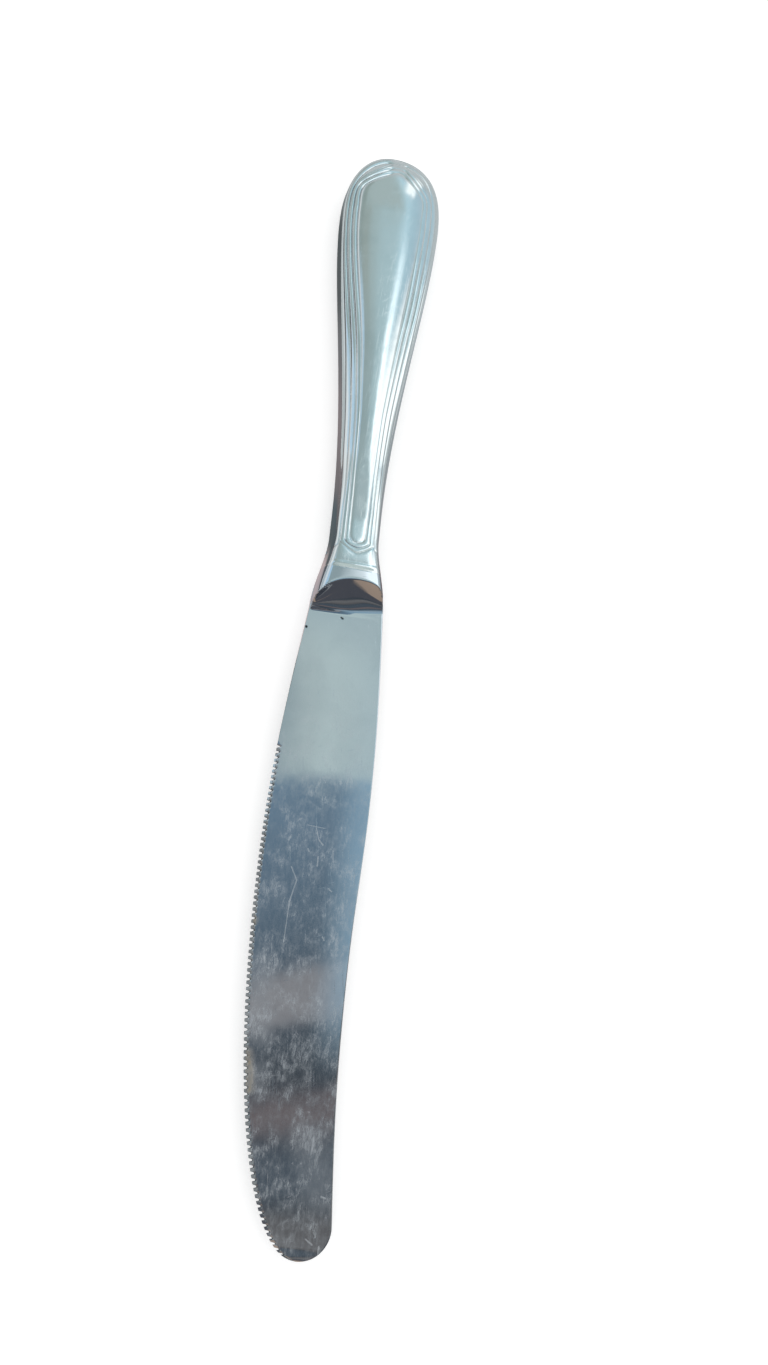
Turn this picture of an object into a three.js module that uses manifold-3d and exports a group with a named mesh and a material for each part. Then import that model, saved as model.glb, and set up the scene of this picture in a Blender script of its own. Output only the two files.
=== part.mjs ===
// A hollow-handled table knife, lying on its side.
//
// A forged stainless blade carries its bolster, a spigot and a tang in one piece.
// The handle is two stamped half shells, brazed edge to edge along a seam and brazed
// to the bolster at the neck. A hard filler grips the tang inside the handle.
//
// Millimetres, +X from the butt to the tip, +Y from the cutting edge to the spine, +Z up.
// Every piece is drawn from the butt end, with the handle's axis on y = 0 and the seam on z = 0,
// and the finished knife is then set down with the origin under the middle of its box.

import * as THREE from "three";
import { mergeVertices } from "three/addons/utils/BufferGeometryUtils.js";
import Module from "manifold-3d";

const wasm = await Module();
wasm.setup();

// Handle, in plan
const HANDLE_LENGTH = 108; // butt end to the mouth that meets the bolster
const BUTT_ROUND = 18.5; // length of the elliptical butt end
const BUTT_HALF_WIDTH = 11.75;
const NECK_BEHIND_MOUTH = 12.5; // the narrowest place, measured back from the mouth
const NECK_HALF_WIDTH = 5.4;
const FLARE_BEHIND_MOUTH = 8; // where the neck starts to widen towards the bolster
const TAPER_SKEW = 0.85; // under 1, the handle narrows sooner behind the butt

// Handle, in depth
const BUTT_HALF_DEPTH = 5.2;
const NECK_HALF_DEPTH = 4.3;
const PANEL_POWER = 2.8; // higher makes a flatter panel with steeper sides
const WALL = 0.8; // sheet thickness of the half shells
const SEAM = 0.2; // braze between the two half shells
const CLEARANCE = 0.3; // around what sits inside the handle

// Threads, the three raised lines that border the panel
const THREAD_EDGE_BUTT = 1.85; // outline to the first thread, at the widest place
const THREAD_EDGE_NECK = 1.5; // and at the neck
const THREAD_PITCH_BUTT = 1.27;
const THREAD_PITCH_NECK = 1.05;
const THREAD_HEIGHT = 0.28;
const OGEE_DRAW = 2.2; // how far the inner threads leave the outline on their way round the butt
const OGEE_POINT = 0.7; // how far their point at the butt stands in from the even border
const TONGUE_BEHIND_MOUTH = 3.4; // point of the tongue that closes the threads at the neck
const TONGUE_SLANT = 2.6; // how far the tongue's point leads its shoulders
const TONGUE_STEP = 2.4; // between the two lines of the tongue

// Bolster, spigot and tang
const NECK_BRAZE = 0.3; // braze between the mouth and the bolster
const BOLSTER_LENGTH = 8; // mouth to heel
const BOLSTER_HALF_DEPTH = 4.9;
const SCOOP_LENGTH = 6.5; // run of the hollow slope from the bolster down to the blade
const SCOOP_POWER = 1.7; // over 1 hollows the slope
const SPIGOT_LENGTH = 6; // plug inside the mouth
const TANG_LENGTH = 48;
const TANG_ROOT_WIDTH = 5.4;
const TANG_ROOT_DEPTH = 3.8;
const TANG_END_WIDTH = 3.2;
const TANG_END_DEPTH = 2.4;

// Blade
const BLADE_LENGTH = 125.5; // heel to tip
const HEEL_HALF_WIDTH = 7.8;
const HEEL_SPREAD = 0.11; // slope of the cutting edge as it leaves the heel
const BELLY_FROM_HEEL = 54.5; // deepest place of the cutting edge
const BELLY_DEPTH = 11.8; // below the handle's axis
const SPINE_SPREAD = 0.055; // slope of the spine as it leaves the heel
const HUMP_FROM_HEEL = 37; // highest place of the spine behind the dip
const HUMP_HEIGHT = 9.15;
const DIP_FROM_HEEL = 77;
const DIP_HEIGHT = 8.03;
const TIP_RADIUS = 5.7;
const TIP_RISE = 4.3; // centre of the round tip above the handle's axis
const BELLY_TANGENT = -42; // degrees round the tip where the cutting edge runs into it
const SPINE_TANGENT = 95; // degrees round the tip where the spine runs into it
const HEEL_HALF_THICKNESS = 1.15;
const TIP_HALF_THICKNESS = 0.7;
const EDGE_HALF_THICKNESS = 0.22;
const SPINE_CHAMFER = 0.45; // broken corners along the spine
const FLAT_WIDTH = 7; // flat of the blade beside the spine
const TEETH = 84;
const TOOTH_PITCH = 1.15;
const TEETH_FROM_HEEL = 31; // along the cutting edge to the first tooth
const TOOTH_DEPTH = 0.35; // bite of a notch into the outline
const TOOTH_REACH = 0.8; // how far a notch runs up the face of the blade

// How finely the round shapes are divided
const SIDE_STEPS = 18; // along one threaded side of the handle
const BUTT_STEPS = 28; // round the threaded butt
const INNER_SIDE_STEPS = 12; // along one side of the hollow
const INNER_BUTT_STEPS = 18; // round the butt of the hollow
const NECK_STEPS = 3; // plain neck between the tongue and the mouth
const LOOP_STEPS = 32; // round the bolster and the spigot
const BOLSTER_STEPS = 9;
const HEEL_STEPS = 7; // plain edge between the heel and the first tooth
const TIP_STEPS = 5; // plain edge between the last tooth and the tip

// Places that follow from those sizes
const NECK_AT = HANDLE_LENGTH - NECK_BEHIND_MOUTH;
const FLARE_AT = HANDLE_LENGTH - FLARE_BEHIND_MOUTH;
const TONGUE_AT = HANDLE_LENGTH - TONGUE_BEHIND_MOUTH - TONGUE_SLANT;
const SHOULDER_AT = HANDLE_LENGTH + NECK_BRAZE;
const HEEL_AT = HANDLE_LENGTH + BOLSTER_LENGTH;
const SPIGOT_END = HANDLE_LENGTH - SPIGOT_LENGTH;
const TANG_END = SPIGOT_END - TANG_LENGTH;

const COLOUR = { handle: 0xb4bfc0, blade: 0x9aa6ab, braze: 0x8d8a84, filler: 0x8b8378 };

// Small helpers

const lerp = THREE.MathUtils.lerp;
const smooth = THREE.MathUtils.smoothstep;
const point = (x, y, z) => new THREE.Vector3(x, y, z);
const steps = (count) => Array.from({ length: count + 1 }, (_, i) => i / count);
const turned = (triangles) => triangles.map(([a, b, c]) => [a, c, b]);
const mirrored = (rows) => rows.map((row) => row.map((p) => point(p.x, p.y, -p.z)));

// Triangles of a sheet that joins each row of points to the next
function sheet(rows) {
  const triangles = [];
  for (let i = 0; i + 1 < rows.length; i++) {
    for (let j = 0; j + 1 < rows[i].length; j++) {
      const [a, b, c, d] = [rows[i][j], rows[i + 1][j], rows[i + 1][j + 1], rows[i][j + 1]];
      triangles.push([a, b, c], [a, c, d]);
    }
  }
  return triangles;
}

// Triangles that close a ring of points round its middle
function cap(ring) {
  const middle = ring.reduce((sum, p) => sum.add(p), point(0, 0, 0)).divideScalar(ring.length);
  return ring.map((p, i) => [middle, p, ring[(i + 1) % ring.length]]);
}

// Rings along +X joined one after the other, with both ends capped
function loft(rings) {
  const closed = rings.map((ring) => [...ring, ring[0]]);
  return geometryOf([...turned(sheet(closed)), ...turned(cap(rings[0])), ...cap(rings.at(-1))]);
}

// One geometry with shared corners, without triangles that have shrunk to a line
function geometryOf(triangles) {
  const corners = triangles.flat().flatMap((p) => [p.x, p.y, p.z]);
  const loose = new THREE.BufferGeometry();
  loose.setAttribute("position", new THREE.Float32BufferAttribute(corners, 3));
  const merged = mergeVertices(loose, 1e-3);
  const index = [...merged.index.array];
  const kept = [];
  for (let i = 0; i < index.length; i += 3) {
    const [a, b, c] = index.slice(i, i + 3);
    if (a !== b && b !== c && c !== a) kept.push(a, b, c);
  }
  return merged.setIndex(kept);
}

// A geometry as a solid that can be cut and joined, and back again
function solidOf(geometry) {
  const { position } = geometry.attributes;
  const triVerts = new Uint32Array(geometry.index.array);
  return new wasm.Manifold(new wasm.Mesh({ numProp: 3, vertProperties: position.array, triVerts }));
}

function geometryFrom(solid) {
  const mesh = solid.getMesh();
  return new THREE.BufferGeometry()
    .setAttribute("position", new THREE.BufferAttribute(mesh.vertProperties, 3))
    .setIndex(new THREE.BufferAttribute(mesh.triVerts, 1));
}

// Plan and depth of the handle and bolster

// Half width at x, drawn in by an inset for what lies under the outline
function halfWidth(x, inset = 0) {
  if (x < BUTT_ROUND) {
    const along = Math.min(1, (BUTT_ROUND - x) / (BUTT_ROUND - inset));
    return (BUTT_HALF_WIDTH - inset) * Math.sqrt(1 - along * along);
  }
  if (x < NECK_AT) {
    const run = Math.pow((x - BUTT_ROUND) / (NECK_AT - BUTT_ROUND), TAPER_SKEW);
    return lerp(BUTT_HALF_WIDTH, NECK_HALF_WIDTH, smooth(run, 0, 1)) - inset;
  }
  return lerp(NECK_HALF_WIDTH, HEEL_HALF_WIDTH, smooth(x, FLARE_AT, HEEL_AT)) - inset;
}

// Half depth on the handle's axis
function halfDepth(x, inset = 0) {
  if (x < NECK_AT) {
    return lerp(BUTT_HALF_DEPTH, NECK_HALF_DEPTH, smooth(x, BUTT_ROUND, NECK_AT)) - inset;
  }
  return lerp(NECK_HALF_DEPTH, BOLSTER_HALF_DEPTH, smooth(x, NECK_AT, SHOULDER_AT)) - inset;
}

// Height of the crowned face, from 1 on the axis to 0 at the outline
const crown = (out) => Math.pow(Math.max(0, 1 - Math.pow(out, PANEL_POWER)), 1 / PANEL_POWER);

// Spokes run in from the outline to the handle's axis.
// One set goes from the mouth along one side, round the butt and back along the other side.

function spokesFrom(side, inset, buttSteps) {
  const first = side.map((s) => ({ ...s, y: -halfWidth(s.x, inset), round: 1 }));
  const butt = steps(buttSteps).slice(1, -1).map((t) => {
    const x = BUTT_ROUND - (BUTT_ROUND - inset) * Math.sin(Math.PI * t);
    const y = -(BUTT_HALF_WIDTH - inset) * Math.cos(Math.PI * t);
    return { ...side.at(-1), x, y, axis: BUTT_ROUND, round: Math.abs(2 * t - 1) };
  });
  const second = first.map((s) => ({ ...s, y: -s.y })).reverse();
  return [...first, ...butt, ...second];
}

// Columns of a threaded spoke that stand on the crests of the three threads,
// the column where the panel starts, and one past the last column
const CRESTS = [4, 7, 9];
const PANEL_COLUMN = 11;
const NO_COLUMN = 14;

// Side of a threaded face: plain neck, then the two lines of the tongue, then the bordered panel.
// At each spoke a number of threads stand up, and so do all columns from one on.
function threadedSide() {
  const back = (share) => TONGUE_AT - TONGUE_STEP * share;
  const neck = steps(NECK_STEPS).map((t) => ({
    x: lerp(HANDLE_LENGTH, TONGUE_AT, t),
    threads: 0,
    raisedFrom: 0,
    level: lerp(1, 0.5, t),
  }));
  const tongue = [
    { x: back(0.25), threads: 1, raisedFrom: CRESTS[0], level: 1 },
    { x: back(0.6), threads: 2, raisedFrom: NO_COLUMN, level: 1 },
    { x: back(1), threads: 3, raisedFrom: CRESTS[2], level: 1 },
  ];
  const border = steps(SIDE_STEPS).map((t) => ({
    x: lerp(back(1.4), BUTT_ROUND, t),
    threads: 3,
    raisedFrom: PANEL_COLUMN,
    level: 1,
  }));
  return [...neck, ...tongue, ...border].map((s) => {
    const lead = smooth(s.x, back(4), TONGUE_AT) * (1 - smooth(s.x, TONGUE_AT, HANDLE_LENGTH));
    return { ...s, axis: s.x + TONGUE_SLANT * lead };
  });
}

// Distances of the three threads from the outline, along a spoke of a given length
function threadOffsets(spoke, length) {
  const wide = smooth(length, NECK_HALF_WIDTH, BUTT_HALF_WIDTH);
  const edge = lerp(THREAD_EDGE_NECK, THREAD_EDGE_BUTT, wide);
  const pitch = lerp(THREAD_PITCH_NECK, THREAD_PITCH_BUTT, wide);
  const fade = (1 - spoke.round ** 2) ** 2;
  const draw = (OGEE_POINT + 3.5 * OGEE_DRAW * spoke.round) * fade;
  const offsets = [edge, edge + pitch + draw, edge + 2 * pitch + draw];
  const room = Math.min(1, (0.88 * length) / (offsets[2] + pitch / 2));
  return { offsets: offsets.map((d) => d * room), half: (pitch * room) / 2 };
}

// Points of a threaded face along one spoke, with a column on each crest and in each groove
function threadedRow(spoke) {
  const length = Math.hypot(spoke.x - spoke.axis, spoke.y);
  const { offsets, half } = threadOffsets(spoke, length);
  const [first, second, third] = offsets;
  const foot = third + half;
  const columns = [0, 0.12 * first, 0.4 * first, first - half, first, first + half];
  columns.push(second - half, second, second + half, third, foot);
  columns.push(lerp(foot, length, 1 / 3), lerp(foot, length, 2 / 3), length);
  const standing = CRESTS.slice(0, spoke.threads);
  return columns.map((d, j) => {
    const t = d / length;
    const raised = j >= spoke.raisedFrom || standing.includes(j) ? spoke.level : 0;
    const z = halfDepth(spoke.axis) * crown(1 - t) - THREAD_HEIGHT * (1 - raised);
    return point(lerp(spoke.x, spoke.axis, t), spoke.y * (1 - t), Math.max(z, SEAM / 2));
  });
}

// Points of a plain crowned face along one spoke, under the threads by an inset
function plainRow(spoke, inset) {
  return [0, 0.03, 0.1, 0.25, 0.55, 1].map((t) => {
    const z = (halfDepth(spoke.axis, inset) - THREAD_HEIGHT) * crown(1 - t);
    return point(lerp(spoke.x, spoke.axis, t), spoke.y * (1 - t), z);
  });
}

// A closed body between two faces that meet along the outline and end flat at the mouth
function bodyBetween(upper, lower) {
  const end = (i) => upper[i].map((p, j) => [lower[i][j], p]);
  const last = upper.length - 1;
  return geometryOf([
    ...turned(sheet(upper)),
    ...sheet(lower),
    ...sheet(end(0)),
    ...turned(sheet(end(last))),
  ]);
}

// A plain body inside the handle, for its hollow and for what fills that
function innerBody(inset, mouthAt) {
  const side = steps(INNER_SIDE_STEPS).map((t) => ({ x: lerp(mouthAt, BUTT_ROUND, t) }));
  side.forEach((s) => (s.axis = s.x));
  const upper = spokesFrom(side, inset, INNER_BUTT_STEPS).map((s) => plainRow(s, inset));
  return solidOf(bodyBetween(upper, mirrored(upper)));
}

// The two stamped half shells and the braze between them

function handleShell(side) {
  const face = spokesFrom(threadedSide(), 0, BUTT_STEPS).map(threadedRow);
  face.forEach((row) => (row[0].z = SEAM / 2));
  const rim = face.map((row) => row.map((p) => point(p.x, p.y, SEAM / 2)));
  const whole = side > 0 ? bodyBetween(face, rim) : bodyBetween(mirrored(rim), mirrored(face));
  const pastMouth = HANDLE_LENGTH + NECK_BRAZE;
  return geometryFrom(solidOf(whole).subtract(innerBody(WALL, pastMouth)));
}

function seamBraze() {
  const border = (inset) =>
    spokesFrom(threadedSide(), inset, BUTT_STEPS).map((s) => new THREE.Vector2(s.x, s.y));
  const strip = new THREE.Shape([...border(0), ...border(WALL).reverse()]);
  const geometry = new THREE.ExtrudeGeometry(strip, { depth: SEAM, bevelEnabled: false });
  return geometry.translate(0, 0, -SEAM / 2);
}

// A ring round the handle or bolster at x, with the same crowned faces as the shells
function loopAt(x, inset, depth) {
  const width = halfWidth(x, inset);
  return steps(LOOP_STEPS).slice(0, -1).map((t) => {
    const angle = 2 * Math.PI * t;
    const out = Math.sign(Math.cos(angle)) * Math.pow(Math.abs(Math.cos(angle)), 0.8);
    return point(x, width * out, Math.sign(Math.sin(angle)) * depth * crown(Math.abs(out)));
  });
}

// The braze ring at the neck: a thin plate with room for the spigot
function neckBraze() {
  const flat = (p) => new THREE.Vector2(p.y, p.z);
  const outline = loopAt(HANDLE_LENGTH, 0, halfDepth(HANDLE_LENGTH)).map(flat);
  const hole = loopAt(HANDLE_LENGTH, WALL, halfDepth(HANDLE_LENGTH, WALL)).map(flat);
  const plate = new THREE.Shape(outline);
  plate.holes.push(new THREE.Path(hole.reverse()));
  const geometry = new THREE.ExtrudeGeometry(plate, { depth: NECK_BRAZE, bevelEnabled: false });
  const turn = new THREE.Matrix4().makeBasis(point(0, 1, 0), point(0, 0, 1), point(1, 0, 0));
  return geometry.applyMatrix4(turn.setPosition(HANDLE_LENGTH, 0, 0));
}

// Blade, bolster, spigot and tang, forged in one

// Half thickness of the blade's flats, which thin towards the tip
const bladeHalf = (x) => lerp(HEEL_HALF_THICKNESS, TIP_HALF_THICKNESS, (x - HEEL_AT) / BLADE_LENGTH);

// Height of the hollow slope that runs from the bolster's crest down to the blade
function scoopHalf(x) {
  const run = Math.max(0, (HEEL_AT - x) / SCOOP_LENGTH);
  return bladeHalf(x) + (BOLSTER_HALF_DEPTH - HEEL_HALF_THICKNESS) * Math.pow(run, SCOOP_POWER);
}

function bolster() {
  const rings = steps(BOLSTER_STEPS).map((t) => {
    const x = lerp(SHOULDER_AT, HEEL_AT, t);
    const limit = scoopHalf(x);
    const ring = loopAt(x, 0, halfDepth(x));
    return ring.map((p) => point(p.x, p.y, THREE.MathUtils.clamp(p.z, -limit, limit)));
  });
  return loft(rings);
}

function spigot() {
  const inset = WALL + CLEARANCE;
  const reach = SHOULDER_AT + 0.2 * BOLSTER_LENGTH; // into the bolster, so that the two are one
  const rings = steps(4).map((t) => {
    const x = lerp(SPIGOT_END, reach, t);
    const seat = Math.min(x, HANDLE_LENGTH);
    const ring = loopAt(seat, inset, halfDepth(seat, inset) - THREAD_HEIGHT);
    return ring.map((p) => point(x, p.y, p.z));
  });
  return loft(rings);
}

// The tang, or the hole for it when it is given some room
function tang(room) {
  const ring = (x, width, depth) => {
    const [y, z] = [width / 2 + room, depth / 2 + room];
    return [point(x, y, -z), point(x, y, z), point(x, -y, z), point(x, -y, -z)];
  };
  const root = SPIGOT_END + SPIGOT_LENGTH / 2;
  return loft([
    ring(TANG_END - room, TANG_END_WIDTH, TANG_END_DEPTH),
    ring(SPIGOT_END, TANG_ROOT_WIDTH, TANG_ROOT_DEPTH),
    ring(root, TANG_ROOT_WIDTH, TANG_ROOT_DEPTH),
  ]);
}

// Plan of the blade: the cutting edge and the spine, each from the heel to the end of the tip

const tipCentre = new THREE.Vector2(HEEL_AT + BLADE_LENGTH - TIP_RADIUS, TIP_RISE);

// A place on the round tip and the direction along it
function onTip(degrees) {
  const angle = THREE.MathUtils.degToRad(degrees);
  const out = new THREE.Vector2(Math.cos(angle), Math.sin(angle));
  const along = new THREE.Vector2(-out.y, out.x);
  return { at: out.clone().multiplyScalar(TIP_RADIUS).add(tipCentre), along, angle };
}

function cuttingEdge() {
  const heel = new THREE.Vector2(HEEL_AT, -HEEL_HALF_WIDTH);
  const belly = new THREE.Vector2(HEEL_AT + BELLY_FROM_HEEL, -BELLY_DEPTH);
  const { at, along, angle } = onTip(BELLY_TANGENT);
  const leave = 0.36 * (belly.x - heel.x);
  const sweep = 0.6 * (at.x - belly.x);
  const spread = heel.y - leave * HEEL_SPREAD;
  const into = at.clone().addScaledVector(along, -1.5 * TIP_RADIUS);
  const path = new THREE.Path();
  path.moveTo(heel.x, heel.y);
  path.bezierCurveTo(heel.x + leave, spread, belly.x - leave, belly.y, belly.x, belly.y);
  path.bezierCurveTo(belly.x + sweep, belly.y, into.x, into.y, at.x, at.y);
  path.absarc(tipCentre.x, tipCentre.y, TIP_RADIUS, angle, 0, false);
  return path;
}

function spine() {
  const heel = new THREE.Vector2(HEEL_AT, HEEL_HALF_WIDTH);
  const hump = new THREE.Vector2(HEEL_AT + HUMP_FROM_HEEL, HUMP_HEIGHT);
  const dip = new THREE.Vector2(HEEL_AT + DIP_FROM_HEEL, DIP_HEIGHT);
  const { at, along, angle } = onTip(SPINE_TANGENT);
  const [a, b, c] = [hump.x - heel.x, dip.x - hump.x, at.x - dip.x].map((run) => 0.4 * run);
  const into = at.clone().addScaledVector(along, c);
  const path = new THREE.Path();
  path.moveTo(heel.x, heel.y);
  path.bezierCurveTo(heel.x + a, heel.y + a * SPINE_SPREAD, hump.x - a, hump.y, hump.x, hump.y);
  path.bezierCurveTo(hump.x + b, hump.y, dip.x - b, dip.y, dip.x, dip.y);
  path.bezierCurveTo(dip.x + c, dip.y, into.x, into.y, at.x, at.y);
  path.absarc(tipCentre.x, tipCentre.y, TIP_RADIUS, angle, 0, true);
  return path;
}

// Places along the cutting edge: plain at the heel, a notch and a crest to each tooth, plain at the tip
function edgeStations(length) {
  const teethEnd = TEETH_FROM_HEEL + TEETH * TOOTH_PITCH;
  const heel = steps(HEEL_STEPS).map((t) => ({ s: t * TEETH_FROM_HEEL, notch: 0 }));
  const teeth = [];
  for (let i = 0; i < TEETH; i++) {
    const start = TEETH_FROM_HEEL + i * TOOTH_PITCH;
    teeth.push({ s: start + TOOTH_PITCH / 2, notch: 1 }, { s: start + TOOTH_PITCH, notch: 0 });
  }
  const room = length - TIP_RADIUS / 4;
  const cut = [...heel, ...teeth].filter((station) => station.s < room);
  const from = Math.min(teethEnd, room);
  const tip = steps(TIP_STEPS).slice(1).map((t) => ({ s: lerp(from, length, t), notch: 0 }));
  return [...cut, ...tip];
}

// One slice of the blade, across from the cutting edge to the spine
function bladeRing(edge, back, notch) {
  const width = Math.max(edge.distanceTo(back), 1e-6);
  const bite = Math.min(TOOTH_DEPTH, width / 6) * notch;
  const reach = Math.min(TOOTH_REACH, width / 4);
  const chamfer = Math.min(SPINE_CHAMFER, width / 5);
  const grind = Math.max(0.4 * width, width - FLAT_WIDTH);
  const across = (d) => new THREE.Vector2().lerpVectors(edge, back, d / width);
  const half = (d) => lerp(EDGE_HALF_THICKNESS, bladeHalf(across(d).x), Math.min(1, d / grind));
  const at = (d, z) => point(across(d).x, across(d).y, z);
  const brow = width - chamfer;
  const spineHalf = Math.max(EDGE_HALF_THICKNESS, half(width) - chamfer);
  return [
    at(bite, -EDGE_HALF_THICKNESS),
    at(grind, -half(grind)),
    at(brow, -half(brow)),
    at(width, -spineHalf),
    at(width, spineHalf),
    at(brow, half(brow)),
    at(grind, half(grind)),
    at(reach, half(reach)),
    at(bite, EDGE_HALF_THICKNESS * (notch ? -0.4 : 1)),
  ];
}

function bladeBody() {
  const edge = cuttingEdge();
  const back = spine();
  const length = edge.getLength();
  const rings = edgeStations(length).map(({ s, notch }) => {
    const share = s / length;
    return bladeRing(edge.getPointAt(share), back.getPointAt(share), notch);
  });
  return loft(rings);
}

function bladeForging() {
  const pieces = [bladeBody(), bolster(), spigot(), tang(0)].map(solidOf);
  return geometryFrom(pieces.reduce((whole, piece) => whole.add(piece)));
}

// The filler, cast inside the closed handle round the tang
function handleFiller() {
  const core = innerBody(WALL + CLEARANCE, SPIGOT_END - CLEARANCE);
  return geometryFrom(core.subtract(solidOf(tang(CLEARANCE))));
}

// The knife

function piece(name, geometry, color, roughness, metalness) {
  const material = new THREE.MeshStandardMaterial({ color, roughness, metalness });
  const mesh = new THREE.Mesh(geometry, material);
  mesh.name = name;
  return mesh;
}

const handle = new THREE.Group();
handle.add(
  piece("front_handle_shell", handleShell(1), COLOUR.handle, 0.2, 1),
  piece("rear_handle_shell", handleShell(-1), COLOUR.handle, 0.2, 1),
  piece("seam_braze", seamBraze(), COLOUR.braze, 0.35, 1),
  piece("handle_filler", handleFiller(), COLOUR.filler, 0.9, 0),
);

const blade = new THREE.Group();
blade.add(
  piece("blade", bladeForging(), COLOUR.blade, 0.12, 1),
  piece("neck_braze", neckBraze(), COLOUR.braze, 0.35, 1),
);

const knife = new THREE.Group();
knife.add(handle, blade);

const box = new THREE.Box3().setFromObject(knife);
const middle = box.getCenter(new THREE.Vector3());
knife.position.set(-middle.x, -middle.y, -box.min.z);

export default knife;
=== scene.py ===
# %% [markdown]
# # A hollow-handled table knife
#
# An everyday knife of stainless steel. Its blade is forged in one piece with the bolster, and its
# handle is two stamped half shells that are brazed edge to edge. This lesson puts smooth, worn
# metal over the packed CAD model, one real piece at a time, and then lights it as on a table.

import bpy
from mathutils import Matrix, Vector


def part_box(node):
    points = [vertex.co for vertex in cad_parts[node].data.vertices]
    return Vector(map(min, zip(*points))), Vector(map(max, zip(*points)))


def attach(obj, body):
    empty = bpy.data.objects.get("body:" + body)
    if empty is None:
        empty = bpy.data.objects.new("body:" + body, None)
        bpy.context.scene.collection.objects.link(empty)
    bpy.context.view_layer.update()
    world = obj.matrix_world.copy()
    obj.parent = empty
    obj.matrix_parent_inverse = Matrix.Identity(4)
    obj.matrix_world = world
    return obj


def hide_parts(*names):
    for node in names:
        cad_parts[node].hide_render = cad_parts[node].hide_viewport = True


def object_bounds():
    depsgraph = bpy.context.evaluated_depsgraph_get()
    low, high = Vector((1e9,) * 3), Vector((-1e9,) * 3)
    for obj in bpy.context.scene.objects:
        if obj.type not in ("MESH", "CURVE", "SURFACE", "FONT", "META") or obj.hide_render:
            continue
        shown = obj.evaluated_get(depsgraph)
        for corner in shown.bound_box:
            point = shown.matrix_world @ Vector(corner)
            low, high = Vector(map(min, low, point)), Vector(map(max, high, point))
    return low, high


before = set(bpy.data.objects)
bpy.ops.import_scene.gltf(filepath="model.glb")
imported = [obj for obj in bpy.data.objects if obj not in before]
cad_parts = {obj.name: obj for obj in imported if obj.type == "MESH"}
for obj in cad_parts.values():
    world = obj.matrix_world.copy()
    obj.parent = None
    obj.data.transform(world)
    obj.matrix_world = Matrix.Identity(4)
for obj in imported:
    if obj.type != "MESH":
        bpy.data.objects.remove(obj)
cad_low, cad_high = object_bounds()
print("CAD box in metres:", tuple(cad_low), tuple(cad_high))

# %% [markdown]
# ## Measures
#
# The packed solids already say where everything is, so the big sizes are read from their boxes.
# Every piece is then drawn from the butt end of the handle: x runs towards the tip, y from the
# cutting edge to the spine, and z up from the seam. Only `placed` knows where that is in the frame.

# %% Tools and the sizes of the packed solids
import math

import bmesh
import bpy
from mathutils import Vector
from mathutils.geometry import interpolate_bezier

MM = 0.001
shell_low, shell_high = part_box("front_handle_shell")
blade_low, blade_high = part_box("blade")
seam_low, seam_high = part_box("seam_braze")
_, ring_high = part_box("neck_braze")

BUTT_X = shell_low.x
AXIS_Y = (shell_low.y + shell_high.y) / 2
SEAM_Z = (seam_low.z + seam_high.z) / 2
MOUTH = shell_high.x - BUTT_X
SHOULDER = ring_high.x - BUTT_X
TIP = blade_high.x - BUTT_X
BUTT_HALF_WIDTH = (shell_high.y - shell_low.y) / 2
BUTT_HALF_DEPTH = shell_high.z - SEAM_Z
BOLSTER_HALF_DEPTH = blade_high.z - SEAM_Z
HALF_SEAM = (seam_high.z - seam_low.z) / 2


def placed(x, y, z):
    """A place on the knife, drawn from its butt end, in the shared frame."""
    return Vector((BUTT_X + x, AXIS_Y + y, SEAM_Z + z))


print(f"handle {MOUTH / MM:.1f} mm, whole knife {TIP / MM:.1f} mm")

# %% [markdown]
# ## The handle's form
#
# In plan the handle is a teardrop: a round butt, a long taper to the neck and a flare into
# the bolster. Across, a low side wall leans in to a crisp line, and from there the face rises in a
# flat dome. It could be pulled into shape by hand, point by point, but here a few short functions
# hold all of that, so the shells, the seam and the bolster agree.

# %% Plan and depth of the handle
BUTT_ROUND = 18.5 * MM
NECK = MOUTH - 12.5 * MM
FLARE = MOUTH - 8 * MM
HEEL = MOUTH + 8 * MM
NECK_HALF_WIDTH = 5.4 * MM
HEEL_HALF_WIDTH = 7.8 * MM
NECK_HALF_DEPTH = 4.3 * MM
TAPER_SKEW = 0.85


def mix(a, b, share):
    """The value at a share of the way from a to b."""
    return a + (b - a) * share


def ease(value, start, end):
    """A share that runs softly from 0 to 1 while a value goes from start to end."""
    share = min(1.0, max(0.0, (value - start) / (end - start)))
    return share * share * (3 - 2 * share)


def half_width(x):
    if x < NECK:
        run = ((x - BUTT_ROUND) / (NECK - BUTT_ROUND)) ** TAPER_SKEW
        return mix(BUTT_HALF_WIDTH, NECK_HALF_WIDTH, ease(run, 0, 1))
    return mix(NECK_HALF_WIDTH, HEEL_HALF_WIDTH, ease(x, FLARE, HEEL))


def half_depth(x):
    if x < NECK:
        return mix(BUTT_HALF_DEPTH, NECK_HALF_DEPTH, ease(x, BUTT_ROUND, NECK))
    return mix(NECK_HALF_DEPTH, BOLSTER_HALF_DEPTH, ease(x, NECK, SHOULDER))


for x in (BUTT_ROUND, NECK, MOUTH):
    print(f"at {x / MM:.1f} mm: {2 * half_width(x) / MM:.1f} wide, {2 * half_depth(x) / MM:.1f} deep")

# %% Section across the handle
WALL_LEAN = 0.16
BUTT_SIDE, TAPER_SIDE, SHOULDER_SIDE = 2.4 * MM, 2.0 * MM, 3.2 * MM
SIDE_FALLS, SIDE_RISES = (25 * MM, 55 * MM), (80 * MM, SHOULDER)
FACE_POWER, NECK_FACE_POWER = 2.9, 9.0
FACE_FLATTENS = (NECK - 16 * MM, NECK + 4 * MM)
CRISP_LINE = 0.25 * MM


def soft_max(a, b, blend):
    return (a + b + math.sqrt((a - b) ** 2 + blend**2)) / 2


def soft_min(a, b, blend):
    return (a + b - math.sqrt((a - b) ** 2 + blend**2)) / 2


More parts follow.
